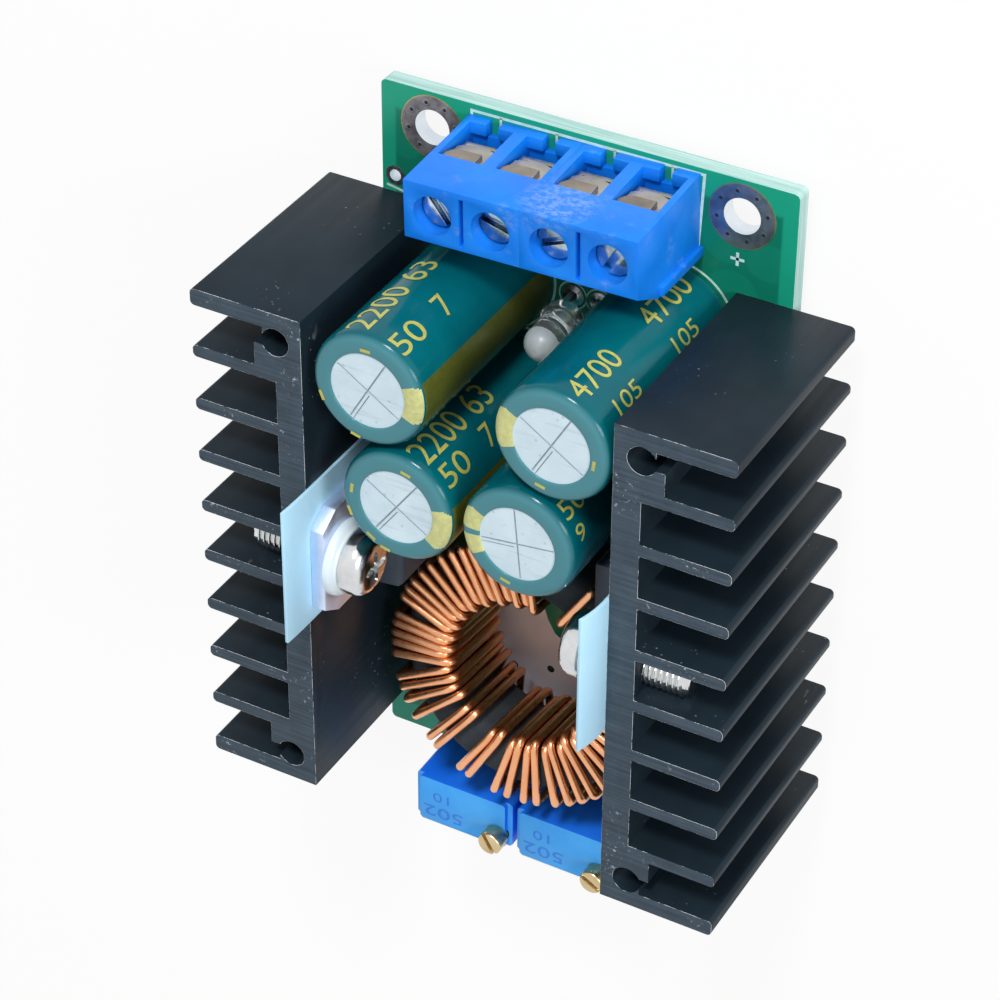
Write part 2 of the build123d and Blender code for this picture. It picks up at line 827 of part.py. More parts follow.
def make_board():
    with BuildPart() as board:
        with BuildSketch(board_plane(0, 0, -board_thickness)):
            RectangleRounded(board_width, board_length, board_corner)
            with Locations((-fixing_hole_x, fixing_hole_y), (fixing_hole_x, fixing_hole_y)):
                Circle(fixing_hole_d / 2, mode=Mode.SUBTRACT)
            with Locations((test_hole_x, test_hole_y)):
                Circle(test_hole_d / 2, mode=Mode.SUBTRACT)
            for x, y, size in lead_holes:
                with Locations((x, y)):
                    RegularPolygon(size / 2, solder_sides, major_radius=False, mode=Mode.SUBTRACT)
        extrude(amount=board_thickness)
    save(board, "circuit_board")


def make_solder():
    with BuildPart() as joints:
        for x, y, size in lead_holes:
            with BuildSketch(board_plane(x, y, -board_thickness)):
                RegularPolygon(size / 2 + solder_spread, solder_sides)
            with BuildSketch(board_plane(x, y, -board_top)):
                RegularPolygon(size / 2 * solder_tip_share, solder_sides)
            loft(ruled=True)
    save(joints, "solder_joints")


for side, hand in ((-1, "left"), (1, "right")):
    make_sink(side, f"heatsink_{hand}")
    make_pad(side, f"insulating_pad_{hand}")
    make_washer(side, f"insulating_washer_{hand}")
    make_screw(side, f"heatsink_screw_{hand}")
make_tab(-1, "converter_tab")
make_case(-1, "converter_case")
make_leads(-1, converter_lead_count, converter_pitch, "converter_leads")
make_tab(1, "rectifier_tab")
make_case(1, "rectifier_case")
make_leads(1, rectifier_lead_count, rectifier_pitch, "rectifier_leads")
for number, place in enumerate(can_places, start=1):
    make_capacitor(place, number)
for number in range(block_count):
    make_block(number)
for way, x in enumerate(way_xs, start=1):
    make_clamp(way, x)
make_core()
make_winding()
for number, x in enumerate(trimmer_xs, start=1):
    make_trimmer(x, number)
make_led()
make_chip(
    "comparator_chip",
    (comparator_x, choke_y + comparator_offset),
    comparator_size,
    comparator_leg_count,
    comparator_pitch,
    comparator_span,
    comparator_leg,
)
make_chip(
    "reference_chip",
    (reference_x, choke_y + reference_offset),
    reference_size,
    reference_leg_count,
    reference_pitch,
    reference_span,
    reference_leg,
)
make_shunt()
make_chip_row()
make_board()
make_solder()
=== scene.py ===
import math
import random

import bmesh
import bpy
from mathutils import Matrix, Vector


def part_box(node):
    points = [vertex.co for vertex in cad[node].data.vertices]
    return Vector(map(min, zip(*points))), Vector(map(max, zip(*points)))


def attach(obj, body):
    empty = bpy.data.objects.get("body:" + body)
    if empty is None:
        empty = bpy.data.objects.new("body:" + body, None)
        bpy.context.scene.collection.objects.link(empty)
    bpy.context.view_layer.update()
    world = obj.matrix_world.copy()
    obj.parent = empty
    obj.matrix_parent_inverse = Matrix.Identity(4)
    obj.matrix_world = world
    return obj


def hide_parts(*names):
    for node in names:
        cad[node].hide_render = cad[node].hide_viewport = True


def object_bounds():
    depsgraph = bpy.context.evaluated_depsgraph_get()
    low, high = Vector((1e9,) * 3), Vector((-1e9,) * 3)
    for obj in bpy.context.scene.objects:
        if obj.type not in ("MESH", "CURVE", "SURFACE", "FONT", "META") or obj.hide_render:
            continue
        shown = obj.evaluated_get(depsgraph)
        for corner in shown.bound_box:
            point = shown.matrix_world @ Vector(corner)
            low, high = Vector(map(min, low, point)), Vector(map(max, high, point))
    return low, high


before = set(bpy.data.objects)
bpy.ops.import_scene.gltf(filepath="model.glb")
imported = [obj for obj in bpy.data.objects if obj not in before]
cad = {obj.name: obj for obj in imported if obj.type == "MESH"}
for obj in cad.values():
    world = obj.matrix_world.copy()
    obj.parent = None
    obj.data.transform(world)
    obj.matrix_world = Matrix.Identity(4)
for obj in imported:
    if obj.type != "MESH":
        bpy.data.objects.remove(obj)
cad_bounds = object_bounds()

MM = 0.001
# where the board's centre and its top face lie in the frame, in mm
BOARD_Y = 0.2
BOARD_TOP = 2.9
BOARD_THICK = 1.6
# what counts as one point when a mesh is joined, in metres
SAME_POINT = 1e-6


def at(x, y, z=0.0):
    """A point in metres, from millimetres measured from the board's centre and top face."""
    return Vector((x * MM, (y + BOARD_Y) * MM, (z + BOARD_TOP) * MM))


def polar(radius, angle, height):
    """A local vector in metres, from a radius and a height in mm and an angle in radians."""
    return Vector((radius * MM * math.cos(angle), radius * MM * math.sin(angle), height * MM))


def made_node(tree, kind, **settings):
    made = tree.nodes.new(kind)
    for key, value in settings.items():
        setattr(made, key, value)
    return made


# ---- materials


class Shader:
    """Builds one node material."""

    def __init__(self, name):
        self.material = bpy.data.materials.new(name)
        self.material.use_nodes = True
        self.tree = self.material.node_tree
        self.tree.nodes.clear()
        self.out = self.node("ShaderNodeOutputMaterial")
        self.surface = self.node("ShaderNodeBsdfPrincipled")
        self.link(self.surface.outputs[0], self.out.inputs[0])
        self.coords = self.node("ShaderNodeTexCoord").outputs["Object"]

    def node(self, kind, **settings):
        return made_node(self.tree, kind, **settings)

    def link(self, a, b):
        self.tree.links.new(a, b)

    def put(self, socket, value):
        """Links another node's output to the socket, or sets the socket's value."""
        if isinstance(value, bpy.types.NodeSocket):
            self.link(value, socket)
        else:
            socket.default_value = value

    def set(self, **inputs):
        """Sets inputs of the surface by their names in lower case."""
        for key, value in inputs.items():
            name = key.replace("_", " ").title().replace("Ior", "IOR")
            self.put(self.surface.inputs[name], value)

    def scaled(self, x, y, z, turn=0.0):
        """The object's coordinates, stretched along its axes and turned about Z."""
        mapping = self.node("ShaderNodeMapping")
        mapping.inputs["Scale"].default_value = (x, y, z)
        mapping.inputs["Rotation"].default_value = (0, 0, turn)
        self.link(self.coords, mapping.inputs["Vector"])
        return mapping.outputs[0]

    def noise(self, scale, detail=3.0, rough=0.5, vector=None):
        made = self.node("ShaderNodeTexNoise")
        made.inputs["Scale"].default_value = scale
        made.inputs["Detail"].default_value = detail
        made.inputs["Roughness"].default_value = rough
        self.link(vector or self.coords, made.inputs["Vector"])
        return made.outputs["Fac"]

    def cells(self, scale, vector=None):
        made = self.node("ShaderNodeTexVoronoi")
        made.inputs["Scale"].default_value = scale
        self.link(vector or self.coords, made.inputs["Vector"])
        return made.outputs["Distance"]

    def ramp(self, value, *stops):
        """A ramp from (place, grey or colour) stops."""
        made = self.node("ShaderNodeValToRGB")
        marks = made.color_ramp.elements
        while len(marks) < len(stops):
            marks.new(0.5)
        for mark, (place, colour) in zip(marks, stops):
            mark.position = place
            if isinstance(colour, (int, float)):
                colour = (colour, colour, colour)
            mark.color = (*colour, 1)
        self.link(value, made.inputs[0])
        return made.outputs[0]

    def mix(self, fac, a, b):
        made = self.node("ShaderNodeMix", data_type="RGBA")
        self.put(made.inputs[0], fac)
        self.put(made.inputs[6], a if isinstance(a, bpy.types.NodeSocket) else (*a, 1))
        self.put(made.inputs[7], b if isinstance(b, bpy.types.NodeSocket) else (*b, 1))
        return made.outputs[2]

    def math(self, kind, a, b=0.0, c=0.0):
        made = self.node("ShaderNodeMath", operation=kind)
        self.put(made.inputs[0], a)
        self.put(made.inputs[1], b)
        self.put(made.inputs[2], c)
        return made.outputs[0]

    def axis(self, which):
        split = self.node("ShaderNodeSeparateXYZ")
        self.link(self.coords, split.inputs[0])
        return split.outputs[which]

    def clouded(self, cloud, base, shade):
        """A colour that a noise mixes from two."""
        return self.mix(self.ramp(cloud, (0.3, 0.0), (0.75, 1.0)), base, shade)

    def bump(self, height, strength, distance, normal=None):
        """A bump with its distance in mm, on top of another one if normal is given."""
        made = self.node("ShaderNodeBump")
        made.inputs["Strength"].default_value = strength
        made.inputs["Distance"].default_value = distance * MM
        self.put(made.inputs["Height"], height)
        if normal is not None:
            self.link(normal, made.inputs["Normal"])
        return made.outputs[0]


def srgb(r, g, b):
    """A linear colour from sRGB values of 0 to 255."""

    def one(v):
        v /= 255
        return v / 12.92 if v <= 0.04045 else ((v + 0.055) / 1.055) ** 2.4

    return (one(r), one(g), one(b))


def anodised(name, base, wear):
    s = Shader(name)
    lines = s.noise(900, 2, 0.5, s.scaled(1, 1, 0.03))
    cloud = s.noise(160, 4, 0.6)
    specks = s.ramp(s.cells(1500), (0.0, 1.0), (0.09, 1.0), (0.14, 0.0))
    where = s.ramp(s.noise(110, 3), (0.58, 0.0), (0.7, 1.0))
    nicks = s.ramp(s.noise(900, 2, 0.4, s.scaled(1.4, 0.22, 0.5, 0.5)), (0.7, 0.0), (0.74, 1.0))
    dust = s.math("MULTIPLY", s.math("MAXIMUM", specks, nicks), where)
    colour = s.mix(s.ramp(cloud, (0.35, 0.0), (0.75, 1.0)), base, tuple(1.5 * v for v in base))
    colour = s.mix(s.math("MULTIPLY", dust, wear), colour, srgb(176, 184, 190))
    s.set(base_color=colour, specular_ior_level=0.14)
    s.set(roughness=s.ramp(lines, (0.3, 0.34), (0.7, 0.48)))
    s.set(normal=s.bump(lines, 0.12, 0.03, s.bump(cloud, 0.06, 0.05)))
    return s.material


def sawn_anodised(name, dark, light):
    s = Shader(name)
    cut = s.noise(1.0, 3, 0.6, s.scaled(90, 3600, 0, math.radians(-20)))
    cloud = s.noise(420, 5, 0.65)
    chips = s.ramp(s.noise(2400, 3, 0.6), (0.6, 0.0), (0.68, 1.0))
    patch = s.ramp(s.noise(200, 3, 0.6), (0.54, 0.0), (0.66, 1.0))
    chips = s.math("MULTIPLY", chips, patch)
    tone = s.math("ADD", s.math("MULTIPLY", cut, 0.6), s.math("MULTIPLY", cloud, 0.4))
    colour = s.mix(s.ramp(tone, (0.36, 0.0), (0.62, 1.0)), dark, light)
    colour = s.mix(s.math("MULTIPLY", chips, 0.85), colour, srgb(190, 198, 205))
    s.set(base_color=colour, specular_ior_level=0.16)
    s.set(roughness=s.ramp(cloud, (0.3, 0.5), (0.7, 0.65)))
    s.set(normal=s.bump(cut, 0.4, 0.03, s.bump(cloud, 0.2, 0.03)))
    return s.material


def worn_edge(name):
    s = Shader(name)
    cloud = s.noise(1500, 4, 0.7)
    place = s.noise(150, 3, 0.6)
    both = s.math("ADD", s.math("MULTIPLY", cloud, 0.5), s.math("MULTIPLY", place, 0.5))
    stops = (0.45, srgb(46, 56, 65)), (0.475, srgb(130, 142, 152)), (0.495, srgb(244, 247, 250))
    colour = s.ramp(both, *stops)
    s.set(base_color=colour, roughness=0.45, specular_ior_level=0.3)
    s.set(normal=s.bump(cloud, 0.5, 0.05))
    return s.material


def plastic(name, base, shade, rough=0.35, grain=0.08, specular=0.5, scatter=0.0):
    s = Shader(name)
    cloud = s.noise(260, 4, 0.6)
    fine = s.noise(2600, 3, 0.6)
    colour = s.clouded(cloud, base, shade)
    s.set(base_color=colour, specular_ior_level=specular)
    if scatter:
        s.set(subsurface_weight=scatter, subsurface_scale=0.6 * MM)
        s.set(subsurface_radius=(0.4, 0.7, 1.0))
    s.set(roughness=s.ramp(cloud, (0.3, rough - 0.05), (0.7, rough + 0.07)))
    s.set(normal=s.bump(fine, grain, 0.02, s.bump(cloud, grain, 0.06)))
    return s.material


def scuffed_plastic(name, base, shade, scuff, place):
    """Moulded plastic with rubbed streaks, thickest round the place given in metres."""
    s = Shader(name)
    cloud = s.noise(230, 4, 0.6)
    fine = s.noise(2600, 3, 0.6)
    streaks = s.noise(2600, 4, 0.7, s.scaled(0.6, 1, 1, 0.4))
    rubbed = s.node("ShaderNodeVectorMath", operation="DISTANCE")
    s.link(s.coords, rubbed.inputs[0])
    rubbed.inputs[1].default_value = place
    near = s.ramp(s.math("MULTIPLY", rubbed.outputs["Value"], 100.0), (0.18, 1.0), (0.38, 0.0))
    patches = s.ramp(s.noise(420, 2, 0.5), (0.6, 0.0), (0.74, 0.5))
    streaked = s.ramp(streaks, (0.44, 0.0), (0.6, 1.0))
    marks = s.math("MULTIPLY", streaked, s.math("MAXIMUM", near, patches))
    specks = s.ramp(s.cells(1300), (0.0, 1.0), (0.08, 1.0), (0.12, 0.0))
    colour = s.clouded(cloud, base, shade)
    colour = s.mix(s.math("MULTIPLY", marks, 0.3), colour, scuff)
    specks = s.math("MULTIPLY", specks, patches)
    colour = s.mix(s.math("MULTIPLY", specks, 0.8), colour, srgb(150, 200, 250))
    s.set(base_color=colour, specular_ior_level=0.28)
    s.set(roughness=s.ramp(streaks, (0.35, 0.3), (0.7, 0.45)))
    s.set(normal=s.bump(fine, 0.1, 0.02, s.bump(cloud, 0.15, 0.08)))
    return s.material


def metal(name, base, shade, rough=0.25, grain=0.15, scale=900):
    s = Shader(name)
    cloud = s.noise(scale / 3, 4, 0.6)
    fine = s.noise(scale, 4, 0.6)
    colour = s.mix(s.ramp(cloud, (0.3, 0.0), (0.72, 1.0)), base, shade)
    s.set(base_color=colour, metallic=1.0)
    s.set(roughness=s.ramp(fine, (0.3, max(0.05, rough - 0.08)), (0.7, rough + 0.1)))
    s.set(normal=s.bump(fine, grain, 0.02))
    return s.material


def copper_wire(name):
    s = Shader(name)
    cloud = s.noise(420, 3, 0.6)
    fine = s.noise(2400, 3, 0.6)
    colour = s.clouded(cloud, srgb(242, 178, 130), srgb(228, 156, 108))
    s.set(base_color=colour, metallic=1.0, coat_weight=0.6, coat_roughness=0.1, coat_ior=1.5)
    s.set(roughness=s.ramp(fine, (0.3, 0.26), (0.7, 0.36)))
    s.set(normal=s.bump(cloud, 0.08, 0.06))
    return s.material


def powder_core(name):
    s = Shader(name)
    grains = s.noise(2200, 4, 0.7)
    cloud = s.noise(300, 4, 0.6)
    chips = s.ramp(s.noise(800, 3, 0.6), (0.7, 0.0), (0.73, 1.0))
    colour = s.clouded(cloud, srgb(44, 50, 55), srgb(66, 74, 80))
    colour = s.mix(s.math("MULTIPLY", chips, 0.6), colour, srgb(150, 155, 158))
    s.set(base_color=colour, roughness=0.7, specular_ior_level=0.15)
    s.set(normal=s.bump(grains, 0.5, 0.05, s.bump(cloud, 0.2, 0.1)))
    return s.material


def solder_mask(name):
    """Green lacquer over the laminate, darker over the copper inside its bright margins."""
    s = Shader(name)
    weave = s.noise(1500, 2, 0.5)
    cloud = s.noise(120, 3, 0.6)
    half_length, half_width = 33.0 * MM, 18.4 * MM
    along = s.math("MULTIPLY", s.math("SUBTRACT", s.axis(1), BOARD_Y * MM), 1 / half_length)
    across = s.math("MULTIPLY", s.axis(0), 1 / half_width)
    rim = s.math("MAXIMUM", s.math("ABSOLUTE", along), s.math("ABSOLUTE", across))
    inner = s.ramp(rim, (0.925, 1.0), (0.935, 0.0))
    fields = s.ramp(s.cells(210), (0.5, 0.0), (0.52, 1.0))
    colour = s.clouded(cloud, srgb(30, 164, 132), srgb(20, 150, 118))
    copper = s.math("MULTIPLY", inner, s.math("MULTIPLY_ADD", fields, 0.12, 0.5))
    colour = s.mix(copper, colour, srgb(2, 84, 66))
    s.set(base_color=colour, roughness=0.3, specular_ior_level=0.25)
    s.set(coat_weight=0.1, coat_roughness=0.12)
    s.set(normal=s.bump(inner, 0.3, 0.03, s.bump(weave, 0.08, 0.02, s.bump(cloud, 0.08, 0.08))))
    return s.material


def board_edge(name):
    s = Shader(name)
    layers = s.noise(900, 3, 0.6, s.scaled(0.12, 0.12, 4))
    colour = s.mix(s.ramp(layers, (0.3, 0.0), (0.7, 1.0)), srgb(192, 222, 218), srgb(150, 192, 184))
    s.set(base_color=colour, roughness=0.7, specular_ior_level=0.3)
    s.set(normal=s.bump(layers, 0.5, 0.05))
    return s.material


def sleeve(name):
    """Glossy film, paler where it folds over the can's end."""
    s = Shader(name)
    cloud = s.noise(140, 4, 0.6)
    ripples = s.noise(420, 2, 0.5, s.scaled(1, 1, 0.25))
    folds = s.noise(900, 2, 0.5, s.scaled(1, 1, 0.1))
    end = (BOARD_TOP + 20.6) * MM
    over = s.ramp(s.math("MULTIPLY", s.axis(2), 1 / end), (0.978, 0.0), (0.993, 1.0))
    colour = s.clouded(cloud, srgb(0, 84, 96), srgb(4, 104, 112))
    colour = s.mix(over, colour, srgb(74, 134, 144))
    s.set(base_color=colour, specular_ior_level=0.2)
    s.set(roughness=s.ramp(cloud, (0.3, 0.12), (0.7, 0.2)))
    s.set(normal=s.bump(ripples, 0.14, 0.15, s.bump(folds, 0.1, 0.05, s.bump(cloud, 0.06, 0.2))))
    return s.material


def ink(name, colour, rough):
    s = Shader(name)
    wear = s.noise(2200, 3, 0.6)
    tone = s.mix(s.ramp(wear, (0.35, 0.0), (0.7, 1.0)), colour, tuple(0.78 * v for v in colour))
    s.set(base_color=tone, roughness=rough)
    s.set(normal=s.bump(wear, 0.1, 0.02))
    return s.material


def can_metal(name):
    s = Shader(name)
    cloud = s.noise(300, 4, 0.6)
    fine = s.noise(2500, 4, 0.7)
    scratch = s.ramp(s.noise(1300, 2, 0.4, s.scaled(0.12, 1.6, 1, 0.7)), (0.6, 0.0), (0.68, 1.0))
    spots = s.ramp(s.cells(900), (0.0, 1.0), (0.1, 0.6), (0.16, 0.0))
    colour = s.clouded(cloud, srgb(214, 233, 242), srgb(196, 216, 228))
    colour = s.mix(s.math("MULTIPLY", scratch, 0.25), colour, srgb(168, 182, 192))
    colour = s.mix(s.math("MULTIPLY", spots, 0.5), colour, srgb(150, 162, 172))
    s.set(base_color=colour, metallic=0.15, specular_ior_level=0.3)
    s.set(roughness=s.ramp(fine, (0.3, 0.46), (0.7, 0.6)))
    s.set(normal=s.bump(fine, 0.12, 0.02))
    return s.material


def bare_laminate(name):
    s = Shader(name)
    weave = s.cells(1500, s.scaled(1, 1, 1, 0.8))
    cloud = s.noise(260, 4, 0.6)
    colour = s.clouded(cloud, srgb(240, 238, 240), srgb(226, 224, 228))
    s.set(base_color=colour, specular_ior_level=0.4)
    s.set(roughness=s.ramp(cloud, (0.3, 0.3), (0.7, 0.45)))
    s.set(normal=s.bump(weave, 0.15, 0.02, s.bump(cloud, 0.2, 0.1)))
    return s.material


def clear_epoxy(name, tint, clear, rough):
    s = Shader(name)
    cloud = s.noise(500, 3, 0.6)
    s.set(base_color=tint, roughness=s.ramp(cloud, (0.3, rough), (0.7, rough + 0.08)))
    s.set(transmission_weight=clear, ior=1.5)
    s.set(normal=s.bump(cloud, 0.1, 0.05))
    return s.material


# the middle of the rubbed patch on the terminal blocks, in mm
SCUFF = (2.2, 32.0, 8.0)
ANODISED = anodised("black_anodised", srgb(24, 35, 43), 0.75)
SAWN = sawn_anodised("sawn_end", srgb(50, 62, 73), srgb(72, 86, 98))
WORN = worn_edge("worn_edge")
BLUE = scuffed_plastic(
    "terminal_blue", srgb(20, 132, 240), srgb(8, 116, 228), srgb(190, 200, 236), at(*SCUFF)
)
TRIM_BLUE = plastic("trimmer_blue", srgb(78, 178, 255), srgb(62, 162, 250), 0.36, 0.08, 0.25)
# the trimmers' sides: a deeper, more saturated blue than the top, which paints their shade
TRIM_SHADED_SIDE = plastic("trimmer_side_painted_shade", srgb(30, 122, 255), srgb(20, 110, 246), 0.36, 0.08, 0.25)
TRIM_POTTING = plastic("trimmer_potting", srgb(8, 58, 142), srgb(6, 46, 120), 0.45)
TRIM_PRINT = plastic("trimmer_print", srgb(42, 132, 232), srgb(36, 122, 222), 0.45)
CASE = plastic("moulded_black", srgb(62, 72, 84), srgb(48, 56, 66), 0.5, 0.25, 0.25)
NYLON = plastic("white_nylon", srgb(228, 240, 245), srgb(216, 230, 238), 0.18, 0.05, 0.4, 0.2)
SILICONE = plastic("pad_silicone", srgb(190, 234, 255), srgb(182, 228, 255), 0.6, 0.12, 0.2)
STEEL = metal("bright_steel", srgb(226, 228, 228), srgb(196, 198, 200), 0.16)
TIN = metal("dull_tin", srgb(204, 208, 210), srgb(168, 172, 176), 0.36)
# tinned tab metal with a blue tint that paints the reflection of the blue pad beside it
PAD_TINTED_TAB = metal("tinned_tab_painted_pad_reflection", srgb(226, 234, 250), srgb(206, 216, 240), 0.5)
CLAMP = metal("clamp_plate", srgb(214, 206, 194), srgb(170, 162, 152), 0.45)
LEAF = metal("wire_leaf", srgb(176, 164, 150), srgb(132, 122, 112), 0.4)
BRASS = metal("brass", srgb(222, 204, 164), srgb(190, 166, 124), 0.32)
SOLDER = metal("solder", srgb(206, 208, 212), srgb(170, 172, 176), 0.22)
PLATED = metal("plated_ring", srgb(182, 180, 186), srgb(116, 112, 120), 0.34, 0.3, 1800)
WALL = metal("plated_wall", srgb(238, 244, 250), srgb(210, 220, 230), 0.2)
GILT = metal("gilt_rim", srgb(214, 200, 140), srgb(176, 160, 110), 0.35)
COPPER = copper_wire("winding_copper")
CORE = powder_core("core_powder")
MASK = solder_mask("solder_mask")
EDGE = board_edge("board_edge")
BARE = bare_laminate("bare_laminate")
SLEEVE = sleeve("sleeve_green")
CAN = can_metal("can_aluminium")
SCORED = ink("can_score", srgb(164, 180, 192), 0.5)
# the terminal screws: plated steel whose pale and dark blue-grey patches paint glints and the blue
# walls' reflection
SUNK_STEEL_GLINTS = metal("plated_screw_painted_glints", srgb(206, 220, 226), srgb(84, 108, 124), 0.2, 0.5, 1100)
GOLD = ink("gold_print", srgb(190, 188, 92), 0.4)
PALE_GOLD = ink("gold_band_top", srgb(206, 208, 140), 0.45)
OLIVE = ink("olive_band", srgb(92, 98, 36), 0.3)
WHITE = ink("white_print", srgb(200, 236, 226), 0.6)
# flat near-black discs where small holes are, which paint the shade inside them
HOLE_SHADE = ink("painted_hole_shade", srgb(20, 24, 24), 0.7)
EPOXY = clear_epoxy("clear_epoxy", (0.93, 0.98, 0.99, 1), 0.94, 0.05)
FROST = clear_epoxy("frosted_epoxy", (0.86, 0.94, 0.97, 1), 0.5, 0.3)
CHIP = plastic("chip_black", srgb(36, 37, 40), srgb(28, 29, 31), 0.5, 0.2)


# ---- mesh tools


def add_object(name, mesh, body, materials):
    for material in materials:
        mesh.materials.append(material)
    made = bpy.data.objects.new(name, mesh)
    bpy.context.scene.collection.objects.link(made)
    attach(made, body)
    return made


def from_bmesh(name, bm, body, materials, sharp=32):
    """Ends a bmesh as an object on its body, smooth but for edges over sharp degrees."""
    bmesh.ops.recalc_face_normals(bm, faces=bm.faces)
    mesh = bpy.data.meshes.new(name)
    bm.to_mesh(mesh)
    bm.free()
    if "custom_normal" in mesh.attributes:
        mesh.attributes.remove(mesh.attributes["custom_normal"])
    mesh.polygons.foreach_set("use_smooth", [True] * len(mesh.polygons))
    mesh.set_sharp_from_angle(angle=math.radians(sharp))
    return add_object(name, mesh, body, materials)


def weld(node):
    """The CAD node's shape as a fresh bmesh with its triangles joined into flat faces."""
    bm = bmesh.new()
    bm.from_mesh(cad[node].data)
    bmesh.ops.remove_doubles(bm, verts=bm.verts, dist=2 * SAME_POINT)
    flat_enough = math.radians(0.6)
    bmesh.ops.dissolve_limit(bm, angle_limit=flat_enough, verts=bm.verts, edges=bm.edges)
    return bm


def dressed(node, materials, bevel, segments=2, limit=28, body="module", paint=None):
    """A copy of a CAD node with small rounded edges, which stands for the node.

    Edges over limit degrees are rounded by bevel mm. The paint function gives each face's
    material from the face and from whether it is part of a rounded edge.
    """
    bm = weld(node)
    for face in bm.faces:
        face.material_index = 0
    least = math.radians(limit)
    joined = [e for e in bm.edges if len(e.link_faces) == 2]
    sharp_edges = [e for e in joined if e.calc_face_angle(0) > least]
    strips = set()
    if bevel and sharp_edges:
        made = bmesh.ops.bevel(
            bm,
            geom=sharp_edges,
            offset=bevel * MM,
            segments=segments,
            profile=0.5,
            affect="EDGES",
            clamp_overlap=True,
        )
        strips = set(made["faces"])
    if paint:
        bm.normal_update()
        for face in bm.faces:
            face.material_index = paint(face, face in strips)
    piece = from_bmesh(node + "_dressed", bm, body, materials)
    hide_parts(node)


def frame_of(origin, up, side=None):
    """A frame at the origin with its Z along up and its X as near to side as it can be."""
    up = up.normalized()
    side = side or (Vector((1, 0, 0)) if abs(up.x) < 0.8 else Vector((0, 1, 0)))
    x = (side - up * side.dot(up)).normalized()
    y = up.cross(x)
    rows = [(x[i], y[i], up[i], origin[i]) for i in range(3)]
    return Matrix((*rows, (0, 0, 0, 1)))


def level(x, y, z=0.0):
    """A level frame at a point given as for at()."""
    return frame_of(at(x, y, z), Vector((0, 0, 1)))


def lathe(bm, profile, place, steps=64, material=0):
    """Turns (radius, height) points in mm round the Z of place. A radius of 0 closes an end."""
    rings = []
    for radius, height in profile:
        angles = [2 * math.pi * step / steps for step in range(steps)] if radius else [0.0]
        rings.append([bm.verts.new(place @ polar(radius, angle, height)) for angle in angles])
    for a, b in zip(rings, rings[1:]):
        for step in range(steps):
            other = (step + 1) % steps
            if len(a) == 1:
                corners = (a[0], b[step], b[other])
            elif len(b) == 1:
                corners = (a[step], b[0], a[other])
            else:
                corners = (a[step], b[step], b[other], a[other])
            bm.faces.new(corners).material_index = material


def tube(bm, points, radius, sides):
    """A round closed tube of a radius in mm along points in metres, with a steady frame."""
    ahead = [(b - a).normalized() for a, b in zip(points, points[1:])]
    between = [(a + b).normalized() for a, b in zip(ahead, ahead[1:])]
    normal = ahead[0].orthogonal().normalized()
    rings = []
    for point, tangent in zip(points, [ahead[0], *between, ahead[-1]]):
        normal = (normal - tangent * normal.dot(tangent)).normalized()
        other = tangent.cross(normal)
        ring = []
        for side in range(sides):
            angle = 2 * math.pi * side / sides
            reach = normal * math.cos(angle) + other * math.sin(angle)
            ring.append(bm.verts.new(point + reach * radius * MM))
        rings.append(ring)
    for a, b in zip(rings, rings[1:]):
        for side in range(sides):
            after = (side + 1) % sides
            bm.faces.new((a[side], a[after], b[after], b[side]))
    bm.faces.new(reversed(rings[0]))
    bm.faces.new(rings[-1])


def ring_plate(bm, place, inner, outer, thick, steps=64, material=0):
    profile = [(inner, 0), (outer, 0), (outer, thick), (inner, thick), (inner, 0)]
    lathe(bm, profile, place, steps, material)


# ---- board


def paint_board(face, strip):
    """The two flat sides get the first material, the edges and the holes' walls the second."""
    return 0 if abs(face.normal.z) > 0.7 else 1


dressed("circuit_board", [MASK, EDGE], 0.05, 1, 40, paint=paint_board)

PLATE, WALL_SKIN = 0.035, 0.03
FIXING_R, FIXING_Y, FIXING_XS = 1.6, 29.8, (-13.7, 13.7)
RING_R, RIM_R, PIT_R, PITS = 2.78, 2.88, 2.2, 8
TEST_X, TEST_Y, TEST_R, TEST_RING_R = -17.2, 24.4, 0.55, 0.88

rings_bm = bmesh.new()
for hole_x in FIXING_XS:
    wall = [(FIXING_R - WALL_SKIN, 0), (FIXING_R - WALL_SKIN, BOARD_THICK)]
    lathe(rings_bm, wall, level(hole_x, FIXING_Y, -BOARD_THICK), 64, 3)
    for foot, pits_at in ((0.0, 0.005), (-BOARD_THICK - PLATE, -BOARD_THICK)):
        place = level(hole_x, FIXING_Y, foot)
        ring_plate(rings_bm, place, FIXING_R, RING_R, PLATE)
        ring_plate(rings_bm, place, RING_R, RIM_R, 0.03, 64, 1)
        for step in range(PITS):
            angle = 2 * math.pi * (step + 0.3) / PITS
            pit_x, pit_y = hole_x + PIT_R * math.cos(angle), FIXING_Y + PIT_R * math.sin(angle)
            pit = level(pit_x, pit_y, pits_at)
            # a dark disc in the middle paints the shade in the pit's hole
            lathe(rings_bm, [(0.0, 0.04), (0.16, 0.04)], pit, 16, 2)
            lathe(rings_bm, [(0.16, 0.04), (0.22, 0.05), (0.3, 0.036)], pit, 16)
for foot in (0.0, -BOARD_THICK - PLATE):
    ring_plate(rings_bm, level(TEST_X, TEST_Y, foot), TEST_R, TEST_RING_R, PLATE, 40)
wall = [(TEST_R - WALL_SKIN, 0), (TEST_R - WALL_SKIN, BOARD_THICK)]
lathe(rings_bm, wall, level(TEST_X, TEST_Y, -BOARD_THICK), 40, 3)
from_bmesh("plated_rings", rings_bm, "module", [PLATED, GILT, HOLE_SHADE, WALL])

PRINT_LIFT = 0.03


